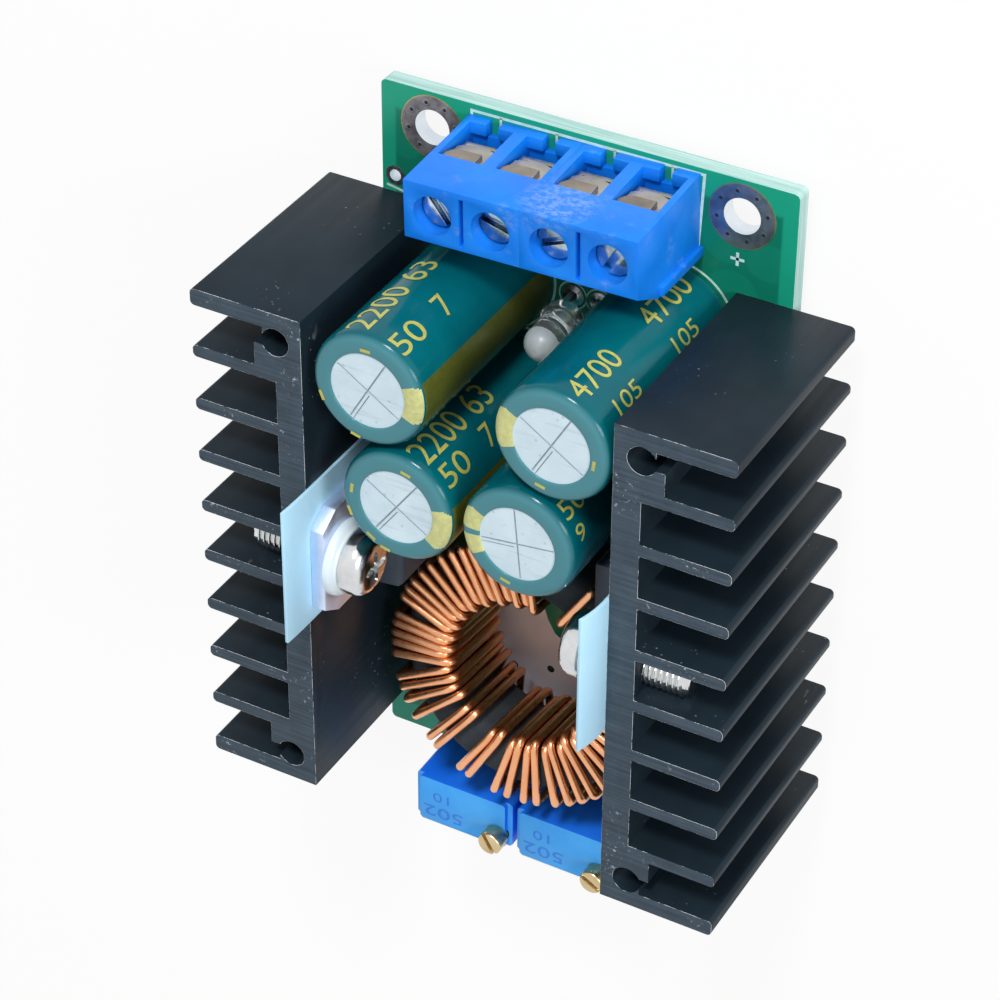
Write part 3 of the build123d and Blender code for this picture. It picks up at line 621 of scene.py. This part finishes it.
def ribbon(bm, points, width):
    """A thin flat printed line on the board through points, both in mm."""
    pts = [Vector((x, y)) for x, y in points]
    ahead = [(b - a).normalized() for a, b in zip(pts, pts[1:])]
    rows = []
    for p, before, after in zip(pts, [ahead[0], *ahead], [*ahead, ahead[-1]]):
        mean = (before + after).normalized()
        side = Vector((-mean.y, mean.x))
        stretch = 1 / max(0.4, side.dot(Vector((-before.y, before.x))))
        edges = p + side * width / 2 * stretch, p - side * width / 2 * stretch
        rows.append([bm.verts.new(at(edge.x, edge.y, PRINT_LIFT)) for edge in edges])
    for a, b in zip(rows, rows[1:]):
        bm.faces.new((a[0], b[0], b[1], a[1]))


def circle(cx, cy, radius, steps=72):
    angles = [math.radians(360 * i / steps) for i in range(steps + 1)]
    return [(cx + radius * math.cos(a), cy + radius * math.sin(a)) for a in angles]


print_bm = bmesh.new()
ribbon(print_bm, [(-10.07, 24.9), (-10.07, 32.42), (10.39, 32.49), (10.06, 24.75)], 0.25)
for tick_x in (-7.45, -2.45, 2.65, 7.67):
    ribbon(print_bm, [(tick_x, 32.4), (tick_x + 0.02, 31.4)], 0.22)
caps_at = [(-7.7, 18.5), (-5.3, 8.3), (8.3, 18.9), (5.5, 8.7)]
for cap_x, cap_y in caps_at:
    ribbon(print_bm, circle(cap_x, cap_y, 5.35), 0.22)
ribbon(print_bm, [(-18.0, 23.4), (-16.2, 23.1)], 0.22)
# a plus sign and a minus sign
ribbon(print_bm, [(12.9, 25.9), (14.1, 25.9)], 0.26)
ribbon(print_bm, [(13.5, 25.3), (13.5, 26.5)], 0.26)
ribbon(print_bm, [(-14.1, 25.9), (-12.9, 25.9)], 0.26)
from_bmesh("silkscreen", print_bm, "module", [WHITE])

bare_bm = bmesh.new()
bare_outline = [
    (-2.9, -14.2), (-2.48, -15.64), (-1.77, -16.91), (-0.97, -17.48), (1.5, -18.2), (3.5, -20),
    (2, -24.5), (-3, -26), (-8, -24.5), (-10.5, -20), (-9.5, -15.5), (-6, -13.8),
]
bare_bm.faces.new([bare_bm.verts.new(at(x, y, 0.02)) for x, y in reversed(bare_outline)])
# the vias are flat dark discs that paint the shade in their holes
for via_x, via_y in ((-5.71, -21.93), (-2.1, -21.03)):
    lathe(bare_bm, [(0.0, 0.026), (0.26, 0.03), (0.36, 0.03)], level(via_x, via_y), 24, 1)
from_bmesh("bare_patch", bare_bm, "module", [BARE, HOLE_SHADE])


# ---- heatsinks


def paint_sink(face, strip):
    """The sides get the first material, the sawn ends the second, their edges the third."""
    upright = abs(face.normal.z)
    if strip and 0.25 < upright < 0.985:
        return 2
    return 1 if upright > 0.9 else 0


for hand in ("left", "right"):
    skins = [ANODISED, SAWN, WORN]
    dressed(f"heatsink_{hand}", skins, 0.19, 2, 40, paint=paint_sink)

# ---- power devices

for hand, device in (("left", "converter"), ("right", "rectifier")):
    dressed(f"insulating_pad_{hand}", [SILICONE], 0.06, 2, 40)
    dressed(f"{device}_tab", [PAD_TINTED_TAB], 0.12, 2, 30)
    dressed(f"{device}_case", [CASE], 0.14, 3, 20)
    dressed(f"{device}_leads", [TIN], 0.05, 1, 30)

SINK_FACE, SINK_WALL = 13.6, 2.4
PAD_THICK, TAB_THICK, WASHER_THICK = 0.3, 1.27, 1.1
SCREW_Z, SCREW_END, THREAD_PITCH, PER_TURN, HEAD_STEPS = 17.8, 3.9, 0.5, 24, 72
WASHER = [
    (1.53, -1.1), (1.9, -1.1), (1.9, 0.0), (3.2, 0.0), (3.3, 0.1), (3.3, 0.42), (3.24, 0.62),
    (3.1, 0.76), (2.96, 0.82), (2.86, 0.9), (2.8, 1.0), (2.66, 1.08), (2.4, 1.1), (1.62, 1.06),
    (1.53, 1.0), (1.53, -1.1),
]
HEAD = [
    (1.2, -0.02), (2.72, 0.0), (2.8, 0.1), (2.8, 0.9), (2.74, 1.25), (2.58, 1.55), (2.3, 1.82),
    (1.95, 1.98), (1.6, 2.06),
]
THREAD = ((1.22, 0.0), (1.46, 0.19), (1.46, 0.27), (1.22, 0.46))


def on_sink(side, screw_y, depth):
    """A frame on the device screw's axis, depth mm inwards from the heatsink's face.

    Its Z points inwards. Side is -1 for the left heatsink and 1 for the right one.
    """
    origin = at(side * (SINK_FACE - depth), screw_y, SCREW_Z)
    return frame_of(origin, Vector((-side, 0, 0)), Vector((0, 0, 1)))


for side, hand, screw_y in ((-1, "left", -0.6), (1, "right", -0.9)):
    seat = PAD_THICK + TAB_THICK
    bm = bmesh.new()
    lathe(bm, WASHER, on_sink(side, screw_y, seat), 72)
    washer = from_bmesh(f"washer_{hand}", bm, "module", [NYLON], 40)
    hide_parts(f"insulating_washer_{hand}")

    # the head, closed by a cross recess
    bm = bmesh.new()
    place = on_sink(side, screw_y, seat + WASHER_THICK)
    lathe(bm, HEAD, place, HEAD_STEPS)
    angles = [2 * math.pi * step / HEAD_STEPS for step in range(HEAD_STEPS)]
    rim = [bm.verts.new(place @ polar(1.6, angle, 2.06)) for angle in angles]
    lip, deep = [], []
    for angle in angles:
        arm = abs(math.cos(2 * angle)) ** 2.2
        reach, low = 0.34 + 1.16 * arm, 0.2 + 0.78 * arm
        lip.append(bm.verts.new(place @ polar(reach, angle, 2.1 - 0.02 * reach)))
        deep.append(bm.verts.new(place @ polar(low, angle, 0.95)))
    foot = bm.verts.new(place @ Vector((0, 0, 0.72 * MM)))
    for step in range(HEAD_STEPS):
        other = (step + 1) % HEAD_STEPS
        bm.faces.new((rim[step], rim[other], lip[other], lip[step]))
        bm.faces.new((lip[step], lip[other], deep[other], deep[step]))
        bm.faces.new((deep[step], deep[other], foot))
    bmesh.ops.remove_doubles(bm, verts=bm.verts, dist=SAME_POINT)

    # the shank, with a thread that grows from its end and runs a little into the heatsink
    start = -(seat + WASHER_THICK + SINK_WALL + SCREW_END)
    rows = []
    for i in range(int((SCREW_END + 1.2) / THREAD_PITCH * PER_TURN) + 1):
        angle = 2 * math.pi * i / PER_TURN
        base = start + i / PER_TURN * THREAD_PITCH
        grown = min(1.0, i / PER_TURN / 0.6)
        corners = [(1.2 + (radius - 1.2) * grown, base + rise) for radius, rise in THREAD]
        rows.append([bm.verts.new(place @ polar(r, angle, height)) for r, height in corners])
    for a, b in zip(rows, rows[1:]):
        for k in range(len(THREAD) - 1):
            bm.faces.new((a[k], a[k + 1], b[k + 1], b[k]))
    lathe(bm, [(0.0, start), (1.0, start), (1.22, start + 0.2), (1.22, -0.02)], place, 48)
    screw = from_bmesh(f"screw_{hand}", bm, "module", [STEEL], 35)
    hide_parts(f"heatsink_screw_{hand}")

# ---- capacitors

# each printed band's middle and half width, and each can's two scored lines, in degrees
bands = {1: (0, 23), 2: (-11, 26), 3: (174.5, 24), 4: (180, 30)}
vents = {1: (-33, 60), 2: (-33, 54), 3: (-33, 60), 4: (-84.5, 7.5)}
CAN_R, CAN_TOP, SLEEVE_R, SLEEVE_TOP = 4.9, 20.35, 5.05, 20.5
DIGITS_LIFT, TICK_LENGTH, TICK_WIDTH = 0.025, 0.9, 0.28


def can_top(bm, x, y, first, second):
    """The can's flat end with its two scored lines, as a grid that is fine near them."""
    steps = [0, 0.04, 0.07, 0.14, 0.22, 0.28, 0.3, 0.34, 0.38, 0.5, 0.9, 1.4, 2.0, 2.6, 3.2, 3.9]
    marks = sorted({-v for v in steps} | set(steps))
    a, b = math.radians(first), math.radians(second)
    made = {}

    def spread(u, v):
        """A point's offsets in x and y from its places along the two lines."""
        return u * math.cos(a) + v * math.cos(b), u * math.sin(a) + v * math.sin(b)

    def point(i, j):
        if (i, j) not in made:
            u, v = marks[i], marks[j]
            px, py = spread(u, v)
            low = 0.0
            if math.hypot(px, py) < 3.15:
                if abs(u) < 0.05 or abs(v) < 0.05:
                    low = 0.09
                elif v < -0.3 and 0.29 < u < 0.35:
                    low = 0.07
            made[i, j] = bm.verts.new(at(x + px, y + py, CAN_TOP - low))
        return made[i, j]

    for i in range(len(marks) - 1):
        for j in range(len(marks) - 1):
            square = ((i, j), (i + 1, j), (i + 1, j + 1), (i, j + 1))
            if max(math.hypot(*spread(marks[p], marks[q])) for p, q in square) < 4.5:
                corners = [point(p, q) for p, q in square]
                scored = min(c.co.z for c in corners) < at(0, 0, CAN_TOP - 0.05).z
                bm.faces.new(corners).material_index = 1 if scored else 0


def digits(bm, text, spot, slices=1):
    """Adds plain digits to the bmesh.

    The spot function gives a point from its share of the line's length and of the letters'
    height. Slices cut the letters level, so that they can bend.
    """
    curve = bpy.data.curves.new("print", "FONT")
    curve.body = text
    curve.resolution_u = 5
    holder = bpy.data.objects.new("print", curve)
    mesh = bpy.data.meshes.new_from_object(holder)
    bpy.data.objects.remove(holder)
    bpy.data.curves.remove(curve)
    letters = bmesh.new()
    letters.from_mesh(mesh)
    bpy.data.meshes.remove(mesh)
    us = [v.co.x for v in letters.verts]
    vs = [v.co.y for v in letters.verts]
    u0, u1, v0, v1 = min(us), max(us), min(vs), max(vs)
    for i in range(1, slices):
        cut = Vector((0, v0 + (v1 - v0) * i / slices, 0))
        every = letters.verts[:] + letters.edges[:] + letters.faces[:]
        bmesh.ops.bisect_plane(letters, geom=every, plane_co=cut, plane_no=Vector((0, 1, 0)))
    made = {}
    for v in letters.verts:
        made[v] = bm.verts.new(spot((v.co.x - u0) / (u1 - u0), (v.co.y - v0) / (v1 - v0)))
    for f in letters.faces:
        bm.faces.new([made[v] for v in f.verts])
    letters.free()


def flat_text(bm, text, x0, x1, y0, y1, z):
    """Prints digits on a level face: the line runs from x0 to x1, its letters' feet at y0."""

    def spot(along, upward):
        return at(x0 + (x1 - x0) * along, y0 + (y1 - y0) * upward, z)

    digits(bm, text, spot)


def wrapped_text(bm, text, x, y, z0, z1, low, high):
    """Prints digits round a sleeve: the line runs down from z0 to z1, its feet at angle low."""
    radius = SLEEVE_R + DIGITS_LIFT

    def spot(along, upward):
        angle = math.radians(low + (high - low) * upward)
        height = z0 + (z1 - z0) * along
        return at(x + radius * math.cos(angle), y + radius * math.sin(angle), height)

    digits(bm, text, spot, 6)


def ring_tick(bm, x, y, angle, radius):
    """A short printed stroke on the sleeve's end."""
    a = math.radians(angle)
    centre = Vector((x + radius * math.cos(a), y + radius * math.sin(a)))
    out = Vector((math.cos(a), math.sin(a))) * TICK_WIDTH / 2
    side = Vector((-math.sin(a), math.cos(a))) * TICK_LENGTH / 2
    corners = (centre - out - side, centre + out - side, centre + out + side, centre - out + side)
    bm.faces.new([bm.verts.new(at(c.x, c.y, SLEEVE_TOP + 0.015)) for c in corners])


# each capacitor's prints: the text, the heights where it starts and ends, and the angles of
# its letters' feet and heads. Then the strokes on its end: angle and radius.
prints = {
    1: [("2200 63", 19.6, 8.6, 93, 120), ("50", 20.0, 16.2, 51, 73), ("7", 13.6, 12.2, 51, 73)],
    2: [("2200 63", 19.6, 8.9, 60, 87), ("50", 19.4, 15.8, 31, 53), ("7", 13.0, 11.7, 31, 53)],
    3: [
        ("4700", 19.7, 13.4, 61, 84), ("4700", 8.4, 1.6, 61, 84),
        ("105", 17.6, 14.0, 30, 46), ("105", 8.0, 4.4, 30, 46),
    ],
    4: [("4700", 19.4, 13.5, 66, 86), ("50", 19.6, 16.6, 38, 56), ("9", 19.4, 18.2, 14, 30)],
}
ticks = {
    1: [(91, 3.7), (-158, 4.4), (-104, 4.5)],
    2: [(172, 4.0), (-158, 4.5), (-123, 4.2), (-103, 4.4), (75, 3.7)],
    3: [(-7, 3.7), (-102, 3.95)],
    4: [(-104, 3.9)],
}
SHOULDER, SIDE_FROM = 0.9, 0.6
SIDE = SLEEVE_TOP - SHOULDER - SIDE_FROM
profile = [(CAN_R, 0.3), (SLEEVE_R, 0.3)]
for i in range(9):
    waist = 0.02 * math.sin(math.pi * i / 8)
    profile.append((SLEEVE_R - waist, SIDE_FROM + SIDE * i / 8))
for i in range(1, 9):
    angle = math.radians(90 * i / 8)
    out = SLEEVE_R - SHOULDER + SHOULDER * math.sin(math.pi / 2 - angle)
    profile.append((out, SLEEVE_TOP - SHOULDER + SHOULDER * math.sin(angle)))
for radius, drop in ((3.7, 0.0), (3.42, 0.01), (3.33, 0.05), (3.3, 0.12), (3.3, 0.15)):
    profile.append((radius, SLEEVE_TOP - drop))

for number, (cap_x, cap_y) in enumerate(caps_at, start=1):
    bm = bmesh.new()
    lathe(bm, profile, level(cap_x, cap_y), 192)
    middle, half = bands[number]
    centre = at(cap_x, cap_y)
    for face in bm.faces:
        c = face.calc_center_median()
        angle = math.degrees(math.atan2(c.y - centre.y, c.x - centre.x))
        off = abs((angle - middle + 180) % 360 - 180)
        radius = math.hypot(c.x - centre.x, c.y - centre.y) / MM
        height = c.z / MM - BOARD_TOP
        # on the end the band narrows outwards, and that of the fourth has a gap
        inside = off < half - max(0, radius - 4.45) * 12 and radius < 4.86
        gap = number == 4 and 0 < angle % 360 - 179 < 7
        if inside and height > SLEEVE_TOP - 0.5 and not gap:
            face.material_index = 1
        elif off < half and height < SLEEVE_TOP - 0.55:
            face.material_index = 2
    skins = [SLEEVE, PALE_GOLD, OLIVE]
    wrap = from_bmesh(f"sleeve_{number}", bm, "module", skins, 50)
    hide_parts(f"capacitor_wrap_{number}")

    bm = bmesh.new()
    for text, *where in prints[number]:
        wrapped_text(bm, text, cap_x, cap_y, *where)
    for angle, radius in ticks[number]:
        ring_tick(bm, cap_x, cap_y, angle, radius)
    from_bmesh(f"sleeve_print_{number}", bm, "module", [GOLD])

    bm = weld(f"capacitor_{number}")
    lid_from = centre.z + (CAN_TOP - 0.13) * MM
    lid = [f for f in bm.faces if min(v.co.z for v in f.verts) > lid_from]
    bmesh.ops.delete(bm, geom=lid, context="FACES")
    can_top(bm, cap_x, cap_y, *vents[number])
    can = from_bmesh(f"can_{number}", bm, "module", [CAN, SCORED], 30)
    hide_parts(f"capacitor_{number}")

# ---- terminal blocks

SKEW, BLOCK_Y, FIRST_WAY, WAY_PITCH = math.radians(1.3), 28.6, -7.62, 5.08


def on_block(x, y, z):
    """A point in metres, from millimetres along the slightly turned terminal blocks."""
    off = y - BLOCK_Y
    along = x * math.cos(SKEW) - off * math.sin(SKEW)
    return at(along, BLOCK_Y + x * math.sin(SKEW) + off * math.cos(SKEW), z)


# the plate with an arched lower edge, and the lip in front of it, as (x, z) outlines
arch = [(1.8 * (-1 + i / 6), 3.3 - 0.62 * (1 - (-1 + i / 6) ** 2)) for i in range(13)]
back = [(-1.8, 6.02), *arch, (1.8, 6.02)]
lip = [
    (-1.82, 6.0), (-1.82, 5.25), (-1.5, 4.7), (-1.0, 4.36), (0.95, 4.28), (1.02, 4.34), (1.02, 6.0),
]

for number in (1, 2):
    dressed(f"terminal_block_{number}", [BLUE], 0.1, 2, 30)
for way in (1, 2, 3, 4):
    clamp, screw = f"wire_clamp_{way}", f"terminal_screw_{way}"
    dressed(clamp, [CLAMP], 0.08, 2, 30, body=clamp)
    dressed(f"terminal_contact_{way}", [TIN], 0.05, 1, 30)
    dressed(screw, [SUNK_STEEL_GLINTS], 0.1, 2, 30, body=screw)

    # the bent leaf that keeps the strands off the screw, just inside the mouth
    bm = bmesh.new()
    middle = FIRST_WAY + WAY_PITCH * (way - 1)
    for tone, outline, front, deep in ((0, back, 31.24, 31.14), (1, lip, 31.66, 31.24)):
        near, far = (
            [bm.verts.new(on_block(middle + x, y - 0.02 * x, z)) for x, z in outline]
            for y in (front, deep)
        )
        bm.faces.new(near).material_index = tone
        bm.faces.new(reversed(far)).material_index = tone
        for k in range(len(outline)):
            m = (k + 1) % len(outline)
            bm.faces.new((near[k], far[k], far[m], near[m]))
    bmesh.ops.bevel(
        bm, geom=bm.edges[:], offset=0.04 * MM, segments=1, affect="EDGES", clamp_overlap=True
    )
    from_bmesh(f"wire_leaf_{way}", bm, "module", [CLAMP, LEAF], 40)

# ---- choke

TILT, CHOKE_X, CHOKE_Y = math.radians(7.0), 0.3, -13.9
CORE_OUT, CORE_IN, CORE_H, CORE_EDGE = 11.4, 7.3, 7.5, 1.25
# the solid's wire and the thinner one that is drawn, both in the same outline
WIRE, GAP, SEEN = 0.92, 0.05, 0.74
WOUND_R = CORE_OUT + GAP + WIRE
OUT_R = WOUND_R - SEEN / 2
IN_R = CORE_IN - GAP - SEEN / 2
LEVEL = CORE_H / 2 + GAP + WIRE - SEEN / 2
choke_z = (CORE_H + 2 * (GAP + WIRE)) / 2 * math.cos(TILT) + WOUND_R * math.sin(TILT)
choke_up = Vector((0, math.sin(TILT), math.cos(TILT)))
choke_at = frame_of(at(CHOKE_X, CHOKE_Y, choke_z), choke_up, Vector((1, 0, 0)))

bm = bmesh.new()
profile = []
for centre_r, centre_h, first in (
    (CORE_OUT - CORE_EDGE, CORE_H / 2 - CORE_EDGE, 0),
    (CORE_IN + CORE_EDGE, CORE_H / 2 - CORE_EDGE, 90),
    (CORE_IN + CORE_EDGE, CORE_EDGE - CORE_H / 2, 180),
    (CORE_OUT - CORE_EDGE, CORE_EDGE - CORE_H / 2, 270),
):
    for i in range(7):
        angle = math.radians(first + 15 * i)
        profile.append((
            centre_r + CORE_EDGE * math.cos(angle), centre_h + CORE_EDGE * math.sin(angle)
        ))
profile.append(profile[0])
lathe(bm, profile, choke_at, 128)
bmesh.ops.remove_doubles(bm, verts=bm.verts, dist=SAME_POINT)
core = from_bmesh("core_ring", bm, "module", [CORE], 60)
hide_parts("choke_core")

# each turn's angle in degrees where it goes over the ring's outer and inner edge
turns = [
    (59.3, 61.3), (91, 81.6), (97, 87.6), (102, 94.2), (107, 101), (112, 107.4), (116.7, 113.8),
    (121, 120.5), (126.3, 126.9), (132.4, 133.4), (139.4, 140), (145.4, 146.4), (151.6, 152.4),
    (156.7, 158.2), (161.5, 163.8), (170.8, 169.2), (175.2, 174.4), (179.9, 179.7), (184.4, 185),
    (189.7, 190.3), (200.9, 196.6), (205.4, 203.2), (211.1, 210.6), (219, 217.2), (229.3, 227.9),
    (233.9, 235), (246.6, 253.3), (251.2, 260.2), (263.5, 269.6), (269.5, 275.9), (277.1, 282),
    (283, 288.4), (291.7, 295.6), (298.4, 302), (304.6, 308.6), (311.4, 315.2), (318.6, 321.6),
    (325.5, 327.8), (332, 333.8), (338.6, 340), (345.4, 346.2), (352, 352.4), (359, 358.8),
    (366, 365.2), (373, 371.8), (380, 378.4),
]


# between the ring's inner and outer side, how far the wires stand out towards the trimmers,
# and how soon they bend at each side, in mm
MIDDLE_R, STAND_OUT = 9, 0.28
INNER_BEND, OUTER_BEND = 0.95, 0.35 * 0.95


def on_choke(radius, angle, height):
    """A point in metres, from a radius and a height in mm and an angle in degrees."""
    a = math.radians(angle)
    if radius > MIDDLE_R:
        radius += STAND_OUT * max(0.0, -math.sin(a))
    return choke_at @ polar(radius, a, height)


def part_way(corner, other):
    """Where the bend at a corner begins, on the way to another corner."""
    (r, a, h), (other_r, other_a, other_h) = corner, other
    dr, dh = other_r - r, other_h - h
    da = (other_a - a) * math.radians(1) * (r + other_r) / 2
    length = math.sqrt(dr * dr + dh * dh + da * da)
    share = min(0.49, (INNER_BEND if r < MIDDLE_R else OUTER_BEND) / length)
    return (r + dr * share, a + (other_a - a) * share, h + dh * share)


def rounded(corners):
    """Local (radius, angle, height) corners to a dense path that bends round them."""
    path = [corners[0]]
    for before, corner, after in zip(corners, corners[1:], corners[2:]):
        near, far = part_way(corner, before), part_way(corner, after)
        for k in range(7):
            t = k / 6
            path.append([
                (1 - t) ** 2 * u + 2 * t * (1 - t) * v + t * t * w
                for u, v, w in zip(near, corner, far)
            ])
    return path + [corners[-1]]


random.seed(11)
bm = bmesh.new()
for strand in (0, 1):
    mine = turns[strand::2]
    inner_r, over = (IN_R - 0.42, LEVEL) if strand else (IN_R, LEVEL - 0.06)
    corners = [(OUT_R, mine[0][0], -LEVEL)]
    next_outers = [outer for outer, _ in mine[1:]] + [mine[-1][0] + 13]
    for (outer, inner), next_outer in zip(mine, next_outers):
        slack = random.uniform(-0.05, 0.0)
        corners.append((OUT_R + slack, outer, LEVEL))
        corners.append((inner_r, inner, over))
        corners.append((inner_r, inner + random.uniform(-0.4, 0.4), -LEVEL))
        corners.append((OUT_R + slack, next_outer, -LEVEL))
    path = [on_choke(*corner) for corner in rounded(corners)]
    underside = (BOARD_TOP - BOARD_THICK) * MM
    first, last = (Vector((end.x, end.y, underside)) for end in (path[0], path[-1]))
    tube(bm, [first, *path, last], SEEN / 2, 14)
winding = from_bmesh("winding", bm, "module", [COPPER], 60)
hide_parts("choke_winding")

# ---- trimmers


def paint_trimmer(face, strip):
    """The top gets the first material, the potting below the second and the sides the third, a
    deeper blue that paints their shade.
    """
    if abs(face.normal.z) <= 0.5:
        return 2
    return 1 if face.normal.z < 0 else 0


for number in (1, 2):
    body, screw, pins = f"trimmer_{number}", f"trimmer_screw_{number}", f"trimmer_pins_{number}"
    skins = [TRIM_BLUE, TRIM_POTTING, TRIM_SHADED_SIDE]
    dressed(body, skins, 0.12, 2, 30, paint=paint_trimmer)
    dressed(screw, [BRASS], 0.06, 2, 30, body=screw)
    dressed(pins, [TIN], 0.0)
    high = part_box(body)[1]
    right, front, top = high[0] / MM, high[1] / MM - BOARD_Y, high[2] / MM - BOARD_TOP
    bm = bmesh.new()
    for text, x0, x1, y0, y1 in (("502", 4.7, 8.6, 3.0, 4.2), ("10", 6.1, 7.7, 1.4, 2.4)):
        flat_text(bm, text, right - x0, right - x1, front - y0, front - y1, top + 0.012)
    from_bmesh(f"trimmer_print_{number}", bm, "module", [TRIM_PRINT])

# ---- lamp, small parts, solder

DOME_R, DOME_FROM, FROST_FROM = 1.5, 7.35, 6.7
profile = [(0.0, 3.5), (1.85, 3.5), (1.9, 3.56), (1.9, 4.4), (1.84, 4.5), (1.56, 4.52), (1.5, 4.6)]
for angle in range(0, 90, 9):
    a = math.radians(angle)
    profile.append((DOME_R * math.cos(a), DOME_FROM + DOME_R * math.sin(a)))
profile.append((0.0, 8.8))
bm = bmesh.new()
lathe(bm, profile, level(0.5, 18.1), 48)
for face in bm.faces:
    face.material_index = 1 if face.calc_center_median().z > at(0, 0, FROST_FROM).z else 0
lamp = from_bmesh("lamp", bm, "module", [EPOXY, FROST], 40)
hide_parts("indicator_led")
cad["indicator_leads"].data.materials.clear()
cad["indicator_leads"].data.materials.append(TIN)

# soldered pads at both ends of the leads' box, along its longer side
low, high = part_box("indicator_leads")
long_side = 0 if high[0] - low[0] > high[1] - low[1] else 1
bm = bmesh.new()
for end, step in ((low, 0.3), (high, -0.3)):
    spot = [(low[0] + high[0]) / 2 / MM, (low[1] + high[1]) / 2 / MM]
    spot[long_side] = end[long_side] / MM + step
    pad_at = level(spot[0], spot[1] - BOARD_Y)
    lathe(bm, [(0.42, 0.1), (0.6, 0.05), (0.95, 0.03)], pad_at, 32)
    lathe(bm, [(1.16, 0.03), (1.3, 0.03)], pad_at, 40, 1)
from_bmesh("lamp_pads", bm, "module", [SOLDER, WHITE])

for node, material in (
    ("comparator_chip", CHIP), ("reference_chip", CHIP), ("current_shunt", CHIP),
    ("chip_resistors", CHIP), ("comparator_chip_legs", TIN), ("reference_chip_legs", TIN),
):
    dressed(node, [material], 0.06, 1, 30)
dressed("solder_joints", [SOLDER], 0.12, 2, 20)

# ---- stage, camera, light

floor_mesh = bpy.data.meshes.new("floor")
floor_mesh.from_pydata([(-3, -3, 0), (3, -3, 0), (3, 3, 0), (-3, 3, 0)], [], [(0, 1, 2, 3)])
floor = bpy.data.objects.new("floor", floor_mesh)
bpy.context.scene.collection.objects.link(floor)
s = Shader("floor_white")
s.set(base_color=(0.94, 0.94, 0.94, 1), roughness=0.9, specular_ior_level=0.1)
glow = s.node("ShaderNodeEmission")
glow.inputs["Strength"].default_value = 1.0
rays = s.node("ShaderNodeLightPath").outputs
blend = s.node("ShaderNodeMixShader")
direct = s.math("MAXIMUM", rays["Is Glossy Ray"], rays["Is Transmission Ray"])
direct = s.math("MAXIMUM", rays["Is Camera Ray"], direct)
s.put(blend.inputs[0], s.math("MULTIPLY", direct, 0.9))
s.link(s.surface.outputs[0], blend.inputs[1])
s.link(glow.outputs[0], blend.inputs[2])
s.link(blend.outputs[0], s.out.inputs[0])
floor_mesh.materials.append(s.material)

# a world that looks white and lights less than it looks
world = bpy.data.worlds.new("studio")
bpy.context.scene.world = world
world.use_nodes = True
tree = world.node_tree
tree.nodes.clear()
output = made_node(tree, "ShaderNodeOutputWorld")
ambient = made_node(tree, "ShaderNodeBackground")
white = made_node(tree, "ShaderNodeBackground")
for background, strength in ((ambient, 0.45), (white, 1.0)):
    background.inputs[0].default_value = (1, 1, 1, 1)
    background.inputs[1].default_value = strength
rays = made_node(tree, "ShaderNodeLightPath").outputs
seen = made_node(tree, "ShaderNodeMath", operation="MAXIMUM")
mirrored = made_node(tree, "ShaderNodeMath", operation="MAXIMUM")
chosen = made_node(tree, "ShaderNodeMixShader")
for source, socket in (
    (rays["Is Camera Ray"], seen.inputs[0]),
    (rays["Is Transmission Ray"], seen.inputs[1]),
    (seen.outputs[0], mirrored.inputs[0]),
    (rays["Is Glossy Ray"], mirrored.inputs[1]),
    (mirrored.outputs[0], chosen.inputs[0]),
    (ambient.outputs[0], chosen.inputs[1]),
    (white.outputs[0], chosen.inputs[2]),
    (chosen.outputs[0], output.inputs[0]),
):
    tree.links.new(source, socket)


def area_light(name, place, target, size, power):
    """A round light that shines from its place at its target."""
    data = bpy.data.lights.new(name, "AREA")
    data.shape = "DISK"
    data.size = size
    data.energy = power
    made = bpy.data.objects.new(name, data)
    bpy.context.scene.collection.objects.link(made)
    made.location = place
    made.rotation_euler = (Vector(target) - Vector(place)).to_track_quat("-Z", "Y").to_euler()


area_light("key", (0.06, 0.45, 0.3), (0, 0, 0.01), 0.12, 1.6)
area_light("fill", (0.48, 0.17, 0.31), (0, 0, 0.01), 0.22, 1.35)

bpy.context.scene.view_settings.view_transform = "Standard"

# the camera that was fitted to the photograph
FOCAL_PX, PICTURE_PX, SENSOR = 3313.323, 1000, 36
camera_data = bpy.data.cameras.new("camera")
camera_data.sensor_width = SENSOR
camera_data.lens = FOCAL_PX / PICTURE_PX * SENSOR
camera_data.clip_start = 0.01
camera = bpy.data.objects.new("camera", camera_data)
bpy.context.scene.collection.objects.link(camera)
camera.matrix_world = Matrix((
    (0.872883208, -0.291795491, 0.391063034, 0.102909865),
    (0.005568583, 0.807380281, 0.590005146, 0.16183757),
    (-0.487897423, -0.512827918, 0.706373577, 0.201976566),
    (0, 0, 0, 1),
))
bpy.context.scene.camera = camera

low, high = cad_bounds
